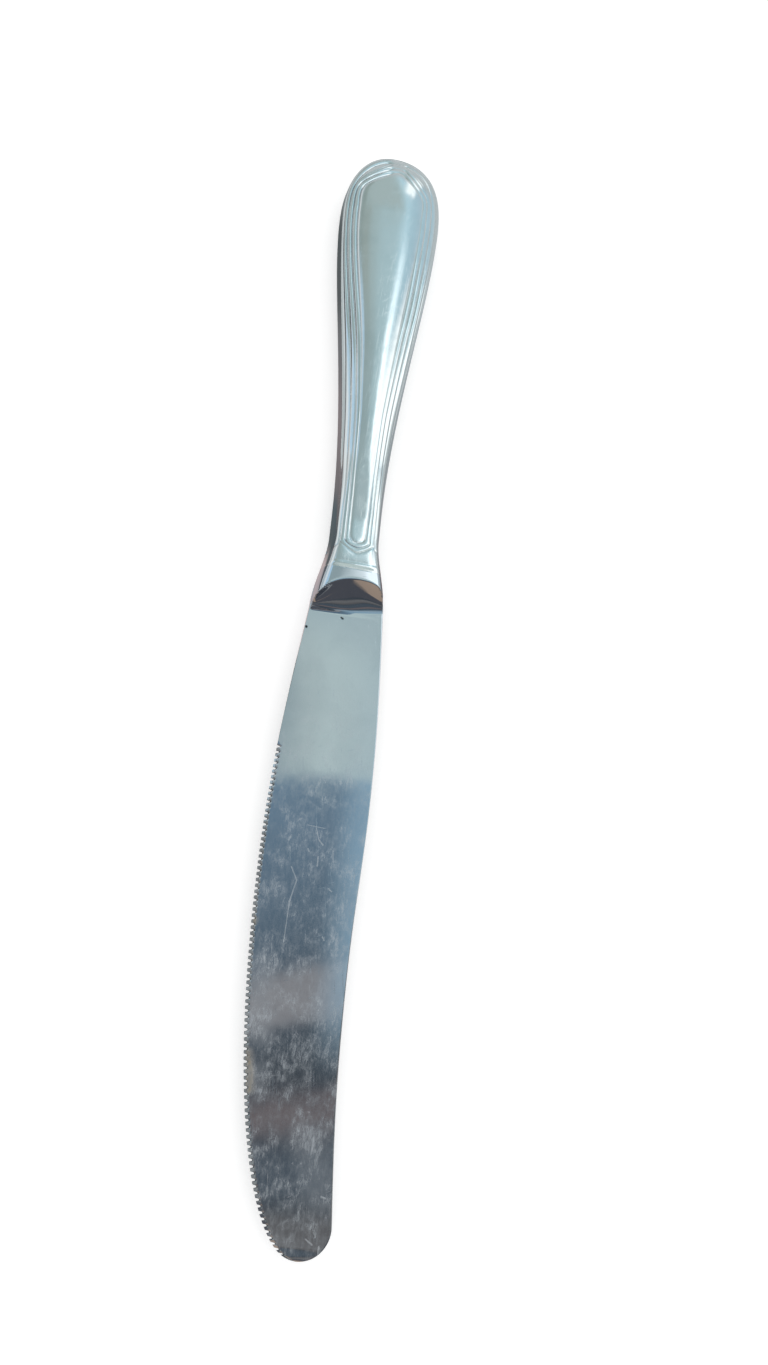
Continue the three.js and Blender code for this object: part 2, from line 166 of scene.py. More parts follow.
def wall_height(x):
    """Height of the line where the leaning side wall meets the face."""
    if x < SIDE_RISES[0]:
        return mix(BUTT_SIDE, TAPER_SIDE, ease(x, *SIDE_FALLS))
    return mix(TAPER_SIDE, SHOULDER_SIDE, ease(x, *SIDE_RISES))


def face_power(x):
    """Over 2 flattens the middle of the face. The neck is flatter than the rest of the handle."""
    return mix(FACE_POWER, NECK_FACE_POWER, ease(x, *FACE_FLATTENS))


def dome(d, length, x, wall):
    """Height of the plain face at a distance d in from the outline."""
    depth = half_depth(x)
    fall = (max(0.0, length - d) / (length - WALL_LEAN * wall)) ** face_power(x)
    return soft_min(HALF_SEAM + d / WALL_LEAN, depth - (depth - wall) * fall, CRISP_LINE)


print(f"side wall {wall_height(BUTT_ROUND) / MM:.1f} mm high at the butt")

# %% [markdown]
# ## Threads and tongue
#
# Three fine threads border the face of the handle. They were pressed in by the stamping die. Along
# the sides they follow the outline. At the butt the inner two leave it and run straight to a soft
# point, and at the neck they close in a tongue with a blunt V. They could be swept as separate
# bars, but on the real handle they are folds in one sheet, so here each is a step in the height of
# the face with a rounded top, and a groove divides it from the next. The steps fade to the neck.

# %% Where the threads run
NECK_EDGE, BUTT_EDGE, EDGE_PULL = 1.5 * MM, 1.85 * MM, 0.2 * MM
NECK_PITCH, BUTT_PITCH, PITCH_PULL = 1.05 * MM, 1.27 * MM, 0.13 * MM
PULL_REACH = 1.4 * MM
OGEE_APEX = 5.1 * MM
OGEE_LEAN = 0.7
OGEE_BLEND = 0.9 * MM
POINT_ROUND = 0.1
POINT_WIDER, POINT_TURNS = 0.6, (0.9, 1.57)


def thread_lines(length, turn):
    """Crests of the three threads along a spoke of the face, and half the width of each."""
    wide = ease(length, NECK_HALF_WIDTH, BUTT_HALF_WIDTH)
    near = 1 - ease(length, NECK_HALF_WIDTH, NECK_HALF_WIDTH + PULL_REACH)
    edge = mix(NECK_EDGE, BUTT_EDGE, wide) - EDGE_PULL * near
    pitch = mix(NECK_PITCH, BUTT_PITCH, wide) - PITCH_PULL * near
    second, third = edge + pitch, edge + 2 * pitch
    half = pitch / 2
    if turn > 0:
        slope = math.hypot(1 / BUTT_ROUND, OGEE_LEAN / BUTT_HALF_WIDTH)
        across = math.sqrt(math.cos(turn) ** 2 + POINT_ROUND**2) - POINT_ROUND
        lean = math.sin(turn) + OGEE_LEAN * across
        inner = 1 - OGEE_APEX / BUTT_ROUND
        second = soft_max(second, length * (1 - (inner + pitch * slope) / lean), OGEE_BLEND)
        third = soft_max(third, length * (1 - inner / lean), OGEE_BLEND)
        half = min(half * (1 + POINT_WIDER * ease(turn, *POINT_TURNS)), (third - second) / 2)
    return (edge, pitch / 2), (second, half), (third, half)


print("threads at the butt:", [round(c / MM, 2) for c, _ in thread_lines(BUTT_HALF_WIDTH, 0)])

# %% Height of the face with its threads
GROOVE, FAINT_GROOVE = 0.16 * MM, 0.05 * MM
BEAD_RADIUS, FAINT_BEAD_RADIUS = 2.2 * MM, 6 * MM
BEAD_SIDES = (0.6, 1)
PANEL_STEP = 0.06 * MM
LIP = 0.2 * MM
FAINT_HALF, BOLD_HALF = 0.52 * MM, 0.635 * MM
FAINT_LEVEL = 0.3
FAINT_TARNISH = 0.4


def lip(distance):
    """A rounded shoulder that rises out of a groove."""
    return 1 - math.exp(-max(0.0, distance) / LIP)


def bead(distance, half):
    """Share of a thread's rounded top: 1 on the crest and 0 in the groove beside it."""
    return 1 - ease(abs(distance) / half, *BEAD_SIDES)


def threaded(d, plain, crests, face):
    """Height and groove share of a face with threads. The bold ones at the butt are level steps."""
    bold = ease(crests[-1][1], FAINT_HALF, BOLD_HALF)
    level = mix(FAINT_LEVEL, 1.0, bold)
    radius = mix(FAINT_BEAD_RADIUS, BEAD_RADIUS, bold)
    height, open_groove = face(d), 1 - plain
    for centre, half in crests:
        if abs(d - centre) < half:
            height = mix(face(d), face(centre - half if d < centre else centre), level)
    height = mix(height - mix(FAINT_GROOVE, GROOVE, bold), face(d), plain)
    for centre, half in crests:
        top = mix(face(d), face(centre), level) - (d - centre) ** 2 / (2 * radius)
        if centre == crests[-1][0]:
            top += PANEL_STEP * (1 - bold)
        share = bead(d - centre, half)
        height = mix(height, top, share)
        open_groove *= 1 - share
    return height, open_groove * mix(FAINT_TARNISH, 1, bold)


def border(d, lines, face):
    """The face along the sides and round the butt."""
    (first, h1), (second, h2), (third, h3) = lines
    land = lip(first - h1 - d)
    spandrel = lip(d - first - h1) * lip(second - h2 - d)
    return threaded(d, max(land, spandrel, lip(d - third - h3)), lines, face)


print(f"grooves {GROOVE / MM:.2f} mm deep")

# %% The tongue at the neck
TONGUE_TIP = MOUTH - 3.4 * MM
TONGUE_LEAN = 0.71
TONGUE_BLUNT = 0.8 * MM
TONGUE_ROUNDING = 1.2
CORNER_BLEND, CORNER_GROWTH = 0.12 * MM, 0.4
SIDE_BLEND = 0.6 * MM
SHALLOW_GROOVE = 0.5 * GROOVE
HOOK_BACK, HOOK_LEAN = 1.35 * MM, 0.45


def tongue(x, y, d, lines, face):
    """The face near the neck, where the inner threads close in a tongue."""
    (first, h1), (second, h2), _ = lines
    ahead, blunt = 0.0, TONGUE_BLUNT
    for _ in range(2):
        bend = math.sqrt(y * y + blunt**2) - blunt
        ahead = (TONGUE_TIP - TONGUE_LEAN * bend - x) / math.hypot(1, TONGUE_LEAN)
        blunt = TONGUE_BLUNT + TONGUE_ROUNDING * max(0.0, ahead)
    beside = d - (second - h2)
    corner = CORNER_BLEND + CORNER_GROWTH * max(0.0, min(ahead, beside))
    inside = soft_min(ahead, beside, corner)
    if inside > 0:
        level = ease(ahead - beside, -SIDE_BLEND, SIDE_BLEND)

        def stepped(at):
            return mix(face(d), face(d - inside + at), level)

        return threaded(inside, lip(inside - 4 * h2), [(h2, h2), (3 * h2, h2)], stepped)
    if beside > 0:
        return face(d) - SHALLOW_GROOVE * (1 - lip(-ahead)), 1 - lip(-ahead)
    hook = TONGUE_TIP - HOOK_BACK - x + HOOK_LEAN * (first + h1 - d)
    if hook > 0:
        height, open_groove = border(d, lines, face)
        return mix(face(d) - SHALLOW_GROOVE, height, lip(hook)), max(open_groove, 1 - lip(hook))
    return face(d) - SHALLOW_GROOVE * (1 - lip(-hook)), 1 - lip(-hook)


print(f"tongue ends {(MOUTH - TONGUE_TIP) / MM:.1f} mm before the mouth")

# %% [markdown]
# ## The front half shell
#
# A stamped shell is a sheet, so it starts as a flat grid. Its rows become spokes that run from the
# outline in to the axis, and its columns crowd where the threads are. One half is shaped by the
# formulas above and mirrored over the axis. Then this knife's own traits come in: near the butt the
# threads crowd to the rim on the side of the cutting edge, and polishing has worn them at the butt
# and beside the spine. A Solidify modifier gives the sheet its 0.8 mm inwards. A subdivision
# surface would need fewer points, but it would soften the grooves.

# %% Spokes and columns of the grid
TONGUE_START = NECK + 1.5 * MM
BUTT_POWER = 2.2
NECK_ROWS, SIDE_ROWS, BUTT_ROWS = 96, 64, 100
RIM_COLUMNS, THREAD_COLUMNS, PANEL_COLUMNS = 14, 56, 10
SHELL_ROWS = NECK_ROWS + SIDE_ROWS + BUTT_ROWS
SHELL_COLUMNS = RIM_COLUMNS + THREAD_COLUMNS + PANEL_COLUMNS
PAST_THREADS, MOST_OF_SPOKE = 1.6, 0.95


def spoke(row):
    """Start of a spoke on the outline, its end on the axis, and its turn round the butt."""
    if row <= NECK_ROWS:
        x = mix(MOUTH, TONGUE_START, row / NECK_ROWS)
        return x, half_width(x), x, 0.0
    row -= NECK_ROWS
    if row <= SIDE_ROWS:
        x = mix(TONGUE_START, BUTT_ROUND, row / SIDE_ROWS)
        return x, half_width(x), x, 0.0
    turn = (row - SIDE_ROWS) / BUTT_ROWS * math.pi / 2
    out, aside = (max(0.0, part) ** (2 / BUTT_POWER) for part in (math.sin(turn), math.cos(turn)))
    return BUTT_ROUND * (1 - out), BUTT_HALF_WIDTH * aside, BUTT_ROUND, turn


def column_distance(column, lines, length):
    """Distance of a grid column from the outline, along its spoke."""
    rim_end = lines[0][0] - lines[0][1]
    thread_end = min(lines[2][0] + PAST_THREADS * lines[2][1], MOST_OF_SPOKE * length)
    if column <= RIM_COLUMNS:
        return rim_end * (column / RIM_COLUMNS) ** 2
    column -= RIM_COLUMNS
    if column <= THREAD_COLUMNS:
        return mix(rim_end, thread_end, column / THREAD_COLUMNS)
    return mix(thread_end, length, (column - THREAD_COLUMNS) / PANEL_COLUMNS)


print(f"{SHELL_ROWS} rows, {SHELL_COLUMNS} columns")

# %% Shape of one half of the face
MOUTH_LIP, MOUTH_LIP_RUN = 0.004 * MM, 0.2 * MM
MOUTH_RISE = 0.08 * MM
RIDGE_RISES, RIDGE_FALLS = (MOUTH - 1.3 * MM, MOUTH - 0.7 * MM), (MOUTH, MOUTH - 0.6 * MM)
BUTT_WALL, BUTT_WALL_TURNS = 1.6 * MM, (0.5, 1.5)


def turned_in(gap):
    """How far a broken edge falls away at a short gap from the joint."""
    return MOUTH_LIP * max(0.0, 1 - gap / MOUTH_LIP_RUN) ** 2


def face_point(row, column):
    """Place on the outer face, measured from the seam, its height without threads, and its groove."""
    start_x, start_y, axis_x, turn = spoke(row)
    length = math.hypot(start_x - axis_x, start_y)
    lines = thread_lines(length, turn)
    d = column_distance(column, lines, length)
    share = d / length
    x, y = mix(start_x, axis_x, share), start_y * (1 - share)
    wall = mix(wall_height(axis_x), BUTT_WALL, ease(turn, *BUTT_WALL_TURNS))

    def face(at):
        return dome(at, length, axis_x, wall)

    along_side = turn > 0 or x < TONGUE_START
    z, groove = border(d, lines, face) if along_side else tongue(x, y, d, lines, face)
    fall = turned_in(MOUTH - x)
    ridge = ease(x, *RIDGE_RISES) * ease(x, *RIDGE_FALLS)
    z += MOUTH_RISE * share * ridge - fall
    return x, y - fall * (1 - share), max(z, HALF_SEAM), max(face(d), HALF_SEAM), groove


print(f"middle of the mouth is {face_point(0, SHELL_COLUMNS)[2] / MM:.2f} mm above the seam")

# %% Sway, crowding and wear
SWAY = 0.45 * MM
CROWDING = 1.5 * MM
CROWDING_RISES, CROWDING_FALLS = (3 * MM, 14 * MM), (58 * MM, 22 * MM)
BUTT_WEAR, BUTT_WORN_ALONG, BUTT_WORN_ACROSS = 0.8, (11 * MM, 6 * MM), (3.2 * MM, 0.8 * MM)
SPINE_WEAR, SPINE_WORN_ALONG, SPINE_WORN_ACROSS = 0.65, (46 * MM, 20 * MM), (0, 3 * MM)


def swayed(x, y, z):
    """A place on the handle. Its butt leans a little to the side of the spine."""
    return placed(x, y + SWAY * ease(BUTT_ROUND - x, 0, BUTT_ROUND), z)


def outline_half(x):
    if x > BUTT_ROUND:
        return half_width(x)
    back = min(1.0, (BUTT_ROUND - x) / BUTT_ROUND)
    return BUTT_HALF_WIDTH * (1 - back**BUTT_POWER) ** (1 / BUTT_POWER)


def crowded(x, y):
    """Near the butt the threads lie closer to the rim on the side of the cutting edge."""
    if y >= 0:
        return y
    share = min(1.0, -y / max(outline_half(x), MM))
    pull = CROWDING * ease(x, *CROWDING_RISES) * ease(x, *CROWDING_FALLS)
    return y - pull * 4 * share * (1 - share)


def worn_away(x, y):
    """Share of the threads that polishing has taken off, at the butt and on the side of the spine."""
    at_butt = ease(x, *BUTT_WORN_ALONG) * ease(abs(y), *BUTT_WORN_ACROSS)
    by_spine = ease(x, *SPINE_WORN_ALONG) * ease(y, *SPINE_WORN_ACROSS)
    return max(BUTT_WEAR * at_butt, SPINE_WEAR * by_spine)


print(f"worn by the spine at the butt's round: {worn_away(BUTT_ROUND, BUTT_HALF_WIDTH):.2f}")

# %% Mesh of a half shell
JOIN = 0.002 * MM
# The grooves hold tarnish. Darkening them more by the cutting edge and less by the spine is painted shade.
EDGE_TARNISH_AND_SHADE, SPINE_TARNISH_AND_SHADE = 1.3, 0.25


def grid_points(bm, columns, rows):
    """Adds a flat grid to a mesh and gives its points, each with its column and its row."""
    made = bmesh.ops.create_grid(bm, x_segments=columns, y_segments=rows, size=1)["verts"]
    for vert in made:
        yield vert, round((vert.co.x + 1) / 2 * columns), round((vert.co.y + 1) / 2 * rows)


def mirror_half(bm):
    """Adds the other half of a mesh, over the axis, and joins the two."""
    whole = bm.verts[:] + bm.edges[:] + bm.faces[:]
    bmesh.ops.mirror(bm, geom=whole, axis="Y", merge_dist=JOIN / 2)
    bmesh.ops.remove_doubles(bm, verts=bm.verts, dist=JOIN)


def shell_mesh(side):
    bm = bmesh.new()
    groove = bm.verts.layers.float.new("groove")
    plain = bm.verts.layers.float.new("plain_height")
    for vert, column, row in grid_points(bm, SHELL_COLUMNS, SHELL_ROWS):
        x, y, z, smooth_z, depth = face_point(row, column)
        vert.co = Vector((x, y, side * z))
        vert[plain] = side * smooth_z
        vert[groove] = depth
    mirror_half(bm)
    for vert in bm.verts:
        x, y, z = vert.co
        gone = worn_away(x, y)
        vert[groove] *= (1 - gone) * mix(EDGE_TARNISH_AND_SHADE, SPINE_TARNISH_AND_SHADE, ease(y, -MM, MM))
        vert.co = swayed(x, crowded(x, y), mix(z, vert[plain], gone))
    return bm


print("tarnish in the grooves:", EDGE_TARNISH_AND_SHADE, "by the cutting edge,", SPINE_TARNISH_AND_SHADE, "by the spine")

# %% Front shell
WALL = 0.8 * MM


def in_scene(name, data):
    """A new object, linked to the scene."""
    made = bpy.data.objects.new(name, data)
    bpy.context.scene.collection.objects.link(made)
    return made


def as_object(bm, name):
    """An object with its own mesh, made from a bmesh that isn't needed any more."""
    mesh = bpy.data.meshes.new(name)
    bm.to_mesh(mesh)
    bm.free()
    return in_scene(name, mesh)


def finished(bm, name, slot, *nodes):
    """Makes a mesh a piece of the knife that stands for its CAD nodes."""
    bmesh.ops.remove_doubles(bm, verts=bm.verts, dist=JOIN)
    bmesh.ops.recalc_face_normals(bm, faces=bm.faces)
    for face in bm.faces:
        face.smooth = True
    for edge in bm.edges:
        edge.smooth = not edge.is_boundary
    piece = as_object(bm, name)
    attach(piece, "root")
    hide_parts(*nodes)
    print(f"{name}: {len(piece.data.vertices)} points, {len(piece.data.polygons)} faces")
    return piece


def with_wall(piece, outwards):
    """Turns a shell's sheet outwards and gives it its thickness on the inner side."""
    top = max(piece.data.polygons, key=lambda face: outwards * face.center.z)
    if outwards * top.normal.z < 0:
        piece.data.flip_normals()
    wall = piece.modifiers.new("sheet_thickness", "SOLIDIFY")
    wall.thickness = WALL
    wall.offset = -1
    return piece


front_shell = with_wall(finished(shell_mesh(1), "front_shell", "handle_steel", "front_handle_shell"), 1)

# %% [markdown]
# ## The rear half shell
#
# The other half was pressed to match, so the rear shell is the front one mirrored at the seam. It
# is its own piece, because the two halves only meet along the braze. A copy scaled by -1 would be
# inside out, so the same function shapes a new grid with its heights turned down.

# %% Rear shell
rear_shell = with_wall(finished(shell_mesh(-1), "rear_shell", "handle_steel", "rear_handle_shell"), -1)

# %% [markdown]
# ## Outline of the blade
#
# In plan the blade is two smooth paths from the heel to the tip: a cutting edge that swells into a
# belly, and a spine with a low hump and a slight dip. Each is a few Bezier curves and an arc round
# the tip. A long list of traced points would do as well, but a few curves stay smooth and are easy
# to change. Points at equal shares of the two paths are joined by chords, and each chord becomes one
# slice of the blade.

# %% Paths of the cutting edge and the spine
TIP_RADIUS = 5.7 * MM
TIP_CENTRE = Vector((TIP - TIP_RADIUS - 0.001 * MM, 4.3 * MM))
BELLY = Vector((HEEL + 54.5 * MM, blade_low.y - AXIS_Y))
HUMP = Vector((HEEL + 37 * MM, 9.15 * MM))
DIP = Vector((HEEL + 77 * MM, 8.03 * MM))
HEEL_SPREAD, SPINE_SPREAD = 0.11, 0.055
HEEL_REACH, BELLY_REACH, SPINE_REACH = 0.36, 0.6, 0.4
TIP_REACH = 1.5 * TIP_RADIUS
EDGE_MEETS_TIP, SPINE_MEETS_TIP = -42, 95
PATH_STEPS, EDGE_TIP_STEPS, SPINE_TIP_STEPS = 160, 60, 90


def on_tip(degrees):
    """A place on the round tip and the direction along it."""
    angle = math.radians(degrees)
    out = Vector((math.cos(angle), math.sin(angle)))
    return TIP_CENTRE + TIP_RADIUS * out, Vector((-out.y, out.x))


def tip_arc(degrees, steps):
    """Places round the tip, from an angle to the foremost point."""
    return [on_tip(degrees * (1 - i / steps))[0] for i in range(1, steps + 1)]


def bezier(start, leave, arrive, end):
    corners = [corner.to_3d() for corner in (start, leave, arrive, end)]
    return [point.to_2d() for point in interpolate_bezier(*corners, PATH_STEPS)]


def edge_path():
    heel = Vector((HEEL, -HEEL_HALF_WIDTH))
    end, along = on_tip(EDGE_MEETS_TIP)
    leave = HEEL_REACH * (BELLY.x - heel.x)
    sweep = BELLY_REACH * (end.x - BELLY.x)
    swell = heel + Vector((leave, -leave * HEEL_SPREAD))
    first = bezier(heel, swell, BELLY - Vector((leave, 0)), BELLY)
    second = bezier(BELLY, BELLY + Vector((sweep, 0)), end - TIP_REACH * along, end)
    return first + second[1:] + tip_arc(EDGE_MEETS_TIP, EDGE_TIP_STEPS)


def spine_path():
    heel = Vector((HEEL, HEEL_HALF_WIDTH))
    end, along = on_tip(SPINE_MEETS_TIP)
    runs = HUMP.x - heel.x, DIP.x - HUMP.x, end.x - DIP.x
    rise, fall, last = (SPINE_REACH * run for run in runs)
    first = bezier(heel, heel + Vector((rise, rise * SPINE_SPREAD)), HUMP - Vector((rise, 0)), HUMP)
    second = bezier(HUMP, HUMP + Vector((fall, 0)), DIP - Vector((fall, 0)), DIP)
    third = bezier(DIP, DIP + Vector((last, 0)), end + last * along, end)
    return first + second[1:] + third[1:] + tip_arc(SPINE_MEETS_TIP, SPINE_TIP_STEPS)


print(f"tip radius {TIP_RADIUS / MM:.1f} mm, belly {(BELLY.x - HEEL) / MM:.1f} mm from the heel")

# %% Walk along the paths
class Path:
    """A drawn path that can be walked by its length."""

    def __init__(self, points):
        self.points = points
        self.marks = [0.0]
        for a, b in zip(points, points[1:]):
            self.marks.append(self.marks[-1] + (b - a).length)
        self.length = self.marks[-1]

    def at(self, share):
        wanted = share * self.length
        low, high = 0, len(self.marks) - 1
        while high - low > 1:
            middle = (low + high) // 2
            low, high = (middle, high) if self.marks[middle] <= wanted else (low, middle)
        run = self.marks[high] - self.marks[low]
        return self.points[low].lerp(self.points[high], (wanted - self.marks[low]) / run)


edge, spine = Path(edge_path()), Path(spine_path())
print(f"cutting edge {edge.length / MM:.1f} mm, spine {spine.length / MM:.1f} mm")

# %% [markdown]
# ## Blade and bolster
#
# The real blade, bolster and tang are one forging. The bolster carries on the handle's form and
# then drops in a hollow scoop to the flat of the blade, a little gentler beside the spine. Fine
# teeth are ground along the edge from one face. Boolean cuts would leave ragged triangles in each
# tooth, so a dense grid is used again: its rows are the slices of the blade, eight to a tooth, and
# the height at each point is a formula.

# %% Slices from the shoulder to the tip
TEETH = 84
TOOTH_PITCH = 1.15 * MM
TEETH_START = 31 * MM
LAST_TOOTH = 0.3 * TIP_RADIUS
ROWS_PER_TOOTH = 8
NOTCH_SIDES = (0.26, 0.12)
BOLSTER_ROWS, HEEL_ROWS, BEVEL_ROWS, TIP_ROWS = 70, 48, 16, 30
HEEL_CROWDING = 1.4


def tooth_stops():
    """Stops along the cutting edge, each with its share of a notch and of the teeth's bevel."""
    stops = [(TEETH_START * (i / HEEL_ROWS) ** HEEL_CROWDING, 0.0, 0.0) for i in range(HEEL_ROWS)]
    for i in range(TEETH * ROWS_PER_TOOTH + 1):
        off = abs(i % ROWS_PER_TOOTH / ROWS_PER_TOOTH - 0.5)
        stop = TEETH_START + TOOTH_PITCH * i / ROWS_PER_TOOTH
        stops.append((stop, ease(off, *NOTCH_SIDES), min(1.0, i / BEVEL_ROWS)))
    stops = [stop for stop in stops if stop[0] < edge.length - LAST_TOOTH]
    last = stops[-1][0]
    for i in range(1, TIP_ROWS + 1):
        stops.append((mix(last, edge.length, i / TIP_ROWS), 0.0, 1 - i / TIP_ROWS))
    return stops


def blade_slices():
    """Ends of each slice on the edge and the spine, its share of a notch and of the teeth's bevel."""
    slices = []
    for i in range(BOLSTER_ROWS):
        x = mix(SHOULDER, HEEL, i / BOLSTER_ROWS)
        slices.append((Vector((x, -half_width(x))), Vector((x, half_width(x))), 0.0, 0.0))
    for stop, notch, bevel in tooth_stops():
        share = stop / edge.length
        slices.append((edge.at(share), spine.at(share), notch, bevel))
    return slices


slices = blade_slices()
print(len(slices), "slices")

# %% Height of the bolster and its scoop
HEEL_HALF_THICKNESS = 1.15 * MM
SCOOP_LENGTH, SCOOP_POWER = 6.3 * MM, 1.2
SCOOP_ARCH, SPINE_ARCH, LEAST_REACH = 4.7 * MM, 0.55, 0.4
SCOOP_FOOT, SCOOP_MIDDLE, SCOOP_ARC = HEEL + 0.98 * MM, -4.4 * MM, 0.52 * MM
SCOOP_SLOPE, SPINE_GENTLER, GENTLER_ACROSS = 0.97, 0.13, (-2 * MM, 5 * MM)
SCOOP_RIM = 0.1 * MM


def bolster_height(x, y):
    """The bolster's dome, cut away by the hollow scoop that runs down to the blade."""
    width = half_width(x)
    foot = SCOOP_FOOT - SCOOP_ARC * ((y - SCOOP_MIDDLE) / HEEL_HALF_WIDTH) ** 2
    arch = (SPINE_ARCH if y > 0 else 1) * SCOOP_ARCH * (y / HEEL_HALF_WIDTH) ** 2
    reach = max(LEAST_REACH, 1 - arch / SCOOP_LENGTH)
    gentle = SCOOP_SLOPE - SPINE_GENTLER * ease(y, *GENTLER_ACROSS)
    steeper = ((gentle * reach) ** -SCOOP_POWER - 1) / reach**3
    run = max(0.0, (foot - x) / SCOOP_LENGTH)
    rise = (gentle * run) ** SCOOP_POWER * (1 + steeper * run**3)
    scoop = HEEL_HALF_THICKNESS + (BOLSTER_HALF_DEPTH - HEEL_HALF_THICKNESS) * rise
    top = dome(width - abs(y), width, max(x, SHOULDER), wall_height(x)) - turned_in(x - SHOULDER)
    return soft_min(top, scoop, SCOOP_RIM)


print(f"scoop ends {(SCOOP_FOOT - HEEL) / MM:.2f} mm past the heel")

# %% Height of the ground blade
TIP_HALF_THICKNESS = 0.7 * MM
EDGE_HALF_THICKNESS = 0.22 * MM
HEEL_EDGE, TIP_EDGE = 0.75, 0.58
EDGE_THINS, EDGE_THICKENS = (HEEL, HEEL + 28 * MM), (TIP - 2.4 * MM, TIP - 0.3 * MM)
GRIND_REACH, GRIND_POWER = 21 * MM, 2.4
SPINE_ROUND, SPINE_FALL = 0.3 * MM, 0.5
LEAST_SHARE = 0.2
LEAST_HEIGHT = 0.02 * MM


def blade_half(x):
    return mix(HEEL_HALF_THICKNESS, TIP_HALF_THICKNESS, (x - HEEL) / (TIP - HEEL))


def spine_corner(width):
    """Reach of the rounded corner at the spine, smaller where a slice is short."""
    return min(SPINE_ROUND, width / 5)


def ground_height(x, d, width):
    """Half thickness of the blade: a long ground taper to the edge and a rounded spine."""
    half = blade_half(x)
    thin = mix(HEEL_EDGE * half, EDGE_HALF_THICKNESS, ease(x, *EDGE_THINS))
    thin = mix(thin, TIP_EDGE * half, ease(x, *EDGE_THICKENS))
    taper = 1 - (1 - min(1.0, d / GRIND_REACH)) ** GRIND_POWER
    height = mix(min(thin, half), half, taper)
    corner = spine_corner(width)
    over = max(0.0, 1 - (width - d) / corner)
    fall = SPINE_FALL * corner * (1 - math.sqrt(max(0.0, 1 - over * over)))
    return max(height - fall, LEAST_SHARE * half)


def blade_height(x, y, d, width):
    """Half thickness at a place: the bolster, its scoop or the ground blade, whichever is higher."""
    ground = ground_height(max(x, HEEL), d, width) * ease(x, SHOULDER, HEEL)
    return ground if x > SCOOP_FOOT else max(ground, bolster_height(x, y), LEAST_HEIGHT)


print(f"half thickness at the middle: {blade_half((HEEL + TIP) / 2) / MM:.2f} mm")

# %% Points across the blade
TOOTH_DEPTH, TOOTH_REACH, BEVEL_REACH = 0.6 * MM, 0.95 * MM, 0.7 * MM
BEVEL_FOOT = -0.8 * EDGE_HALF_THICKNESS
TOOTH_COLUMNS, FACE_COLUMNS, SPINE_COLUMNS = 8, 30, 8
BLADE_COLUMNS = TOOTH_COLUMNS + FACE_COLUMNS + SPINE_COLUMNS
TOOTH_CROWDING, SPINE_CROWDING, EVEN_FACE = 1.4, 1.6, 0.35
NO_WIDTH = 1e-7


def tooth_reach(width):
    """How far the notches reach in from the edge, less where a slice is short."""
    return min(TOOTH_REACH, width / 4)


def across_blade(column, width):
    """Distance of a column from the cutting edge."""
    reach, corner = tooth_reach(width), spine_corner(width)
    if column <= TOOTH_COLUMNS:
        return reach * (column / TOOTH_COLUMNS) ** TOOTH_CROWDING
    column -= TOOTH_COLUMNS
    if column <= FACE_COLUMNS:
        share = 0.5 - 0.5 * math.cos(math.pi * column / FACE_COLUMNS)
        share = EVEN_FACE * column / FACE_COLUMNS + (1 - EVEN_FACE) * share
        return mix(reach, width - corner, share)
    share = 1 - (column - FACE_COLUMNS) / SPINE_COLUMNS
    return width - corner * share**SPINE_CROWDING


def blade_point(row, column, side):
    start, end, notch, bevel = slices[row]
    width = max((end - start).length, NO_WIDTH)
    d = across_blade(column, width)
    bite = notch * min(TOOTH_DEPTH, width / 6) * max(0.0, 1 - d / tooth_reach(width))
    place = start.lerp(end, (d + bite) / width)
    height = blade_height(place.x, place.y, d, width)
    if side > 0:
        slope = bevel * max(0.0, 1 - d / min(BEVEL_REACH, width / 5))
        height = mix(height, BEVEL_FOOT, slope)
    return placed(place.x, place.y, side * height)


print(f"{BLADE_COLUMNS} columns, teeth {TOOTH_DEPTH / MM:.1f} mm deep")

# %% Close the two faces
BLADE_CREASE = math.radians(38)


def blade_mesh():
    bm = bmesh.new()
    for side in (1, -1):
        for vert, column, row in grid_points(bm, BLADE_COLUMNS, len(slices) - 1):
            vert.co = blade_point(row, column, side)
    rim = [e for e in bm.edges if e.is_boundary]
    bmesh.ops.bridge_loops(bm, edges=rim)
    return bm


forged_blade = finished(blade_mesh(), "forged_blade", "blade_steel", "blade")
forged_blade.data.set_sharp_from_angle(angle=BLADE_CREASE)

# %% [markdown]
# ## Braze
#
# Two thin lines of braze hold the knife together: one runs along the seam between the half shells,
# and one rings the neck, where the shells meet the bolster. Both were polished flush with the
# steel. A swept curve could make them, but a grid rolled into a tube keeps its corners exactly on
# the outline of the pieces that it joins.

# %% Seam braze
BRAZE_CREASE = math.radians(50)


def seam_mesh():
    section = [(WALL, -1), (0, -1), (0, 1), (WALL, 1)]
    bm = bmesh.new()
    for vert, column, row in grid_points(bm, len(section), SHELL_ROWS):
        start_x, start_y, axis_x, _ = spoke(row)
        depth, level = section[column % len(section)]
        share = depth / math.hypot(start_x - axis_x, start_y)
        vert.co = Vector((mix(start_x, axis_x, share), start_y * (1 - share), level * HALF_SEAM))
    mirror_half(bm)
    bmesh.ops.holes_fill(bm, edges=[e for e in bm.edges if e.is_boundary])
    for vert in bm.verts:
        vert.co = swayed(*vert.co)
    return bm


seam_line = finished(seam_mesh(), "seam_line", "braze", "seam_braze")
seam_line.data.set_sharp_from_angle(angle=BRAZE_CREASE)

# %% Neck braze
RING_STEPS = 240


def neck_ring_mesh():
    width = half_width(MOUTH)
    section = [(MOUTH, WALL), (MOUTH, MOUTH_LIP), (SHOULDER, MOUTH_LIP), (SHOULDER, WALL)]
    bm = bmesh.new()
    for vert, column, _ in grid_points(bm, len(section), RING_STEPS):
        angle = math.pi * (vert.co.y + 1)
        x, inset = section[column % len(section)]
        out = abs(math.cos(angle))
        height = dome((1 - out) * width, width, MOUTH, wall_height(MOUTH)) - inset
        y = math.copysign(out * (width - inset), math.cos(angle))
        vert.co = placed(x, y, math.copysign(max(0.0, height), math.sin(angle)))
    return bm


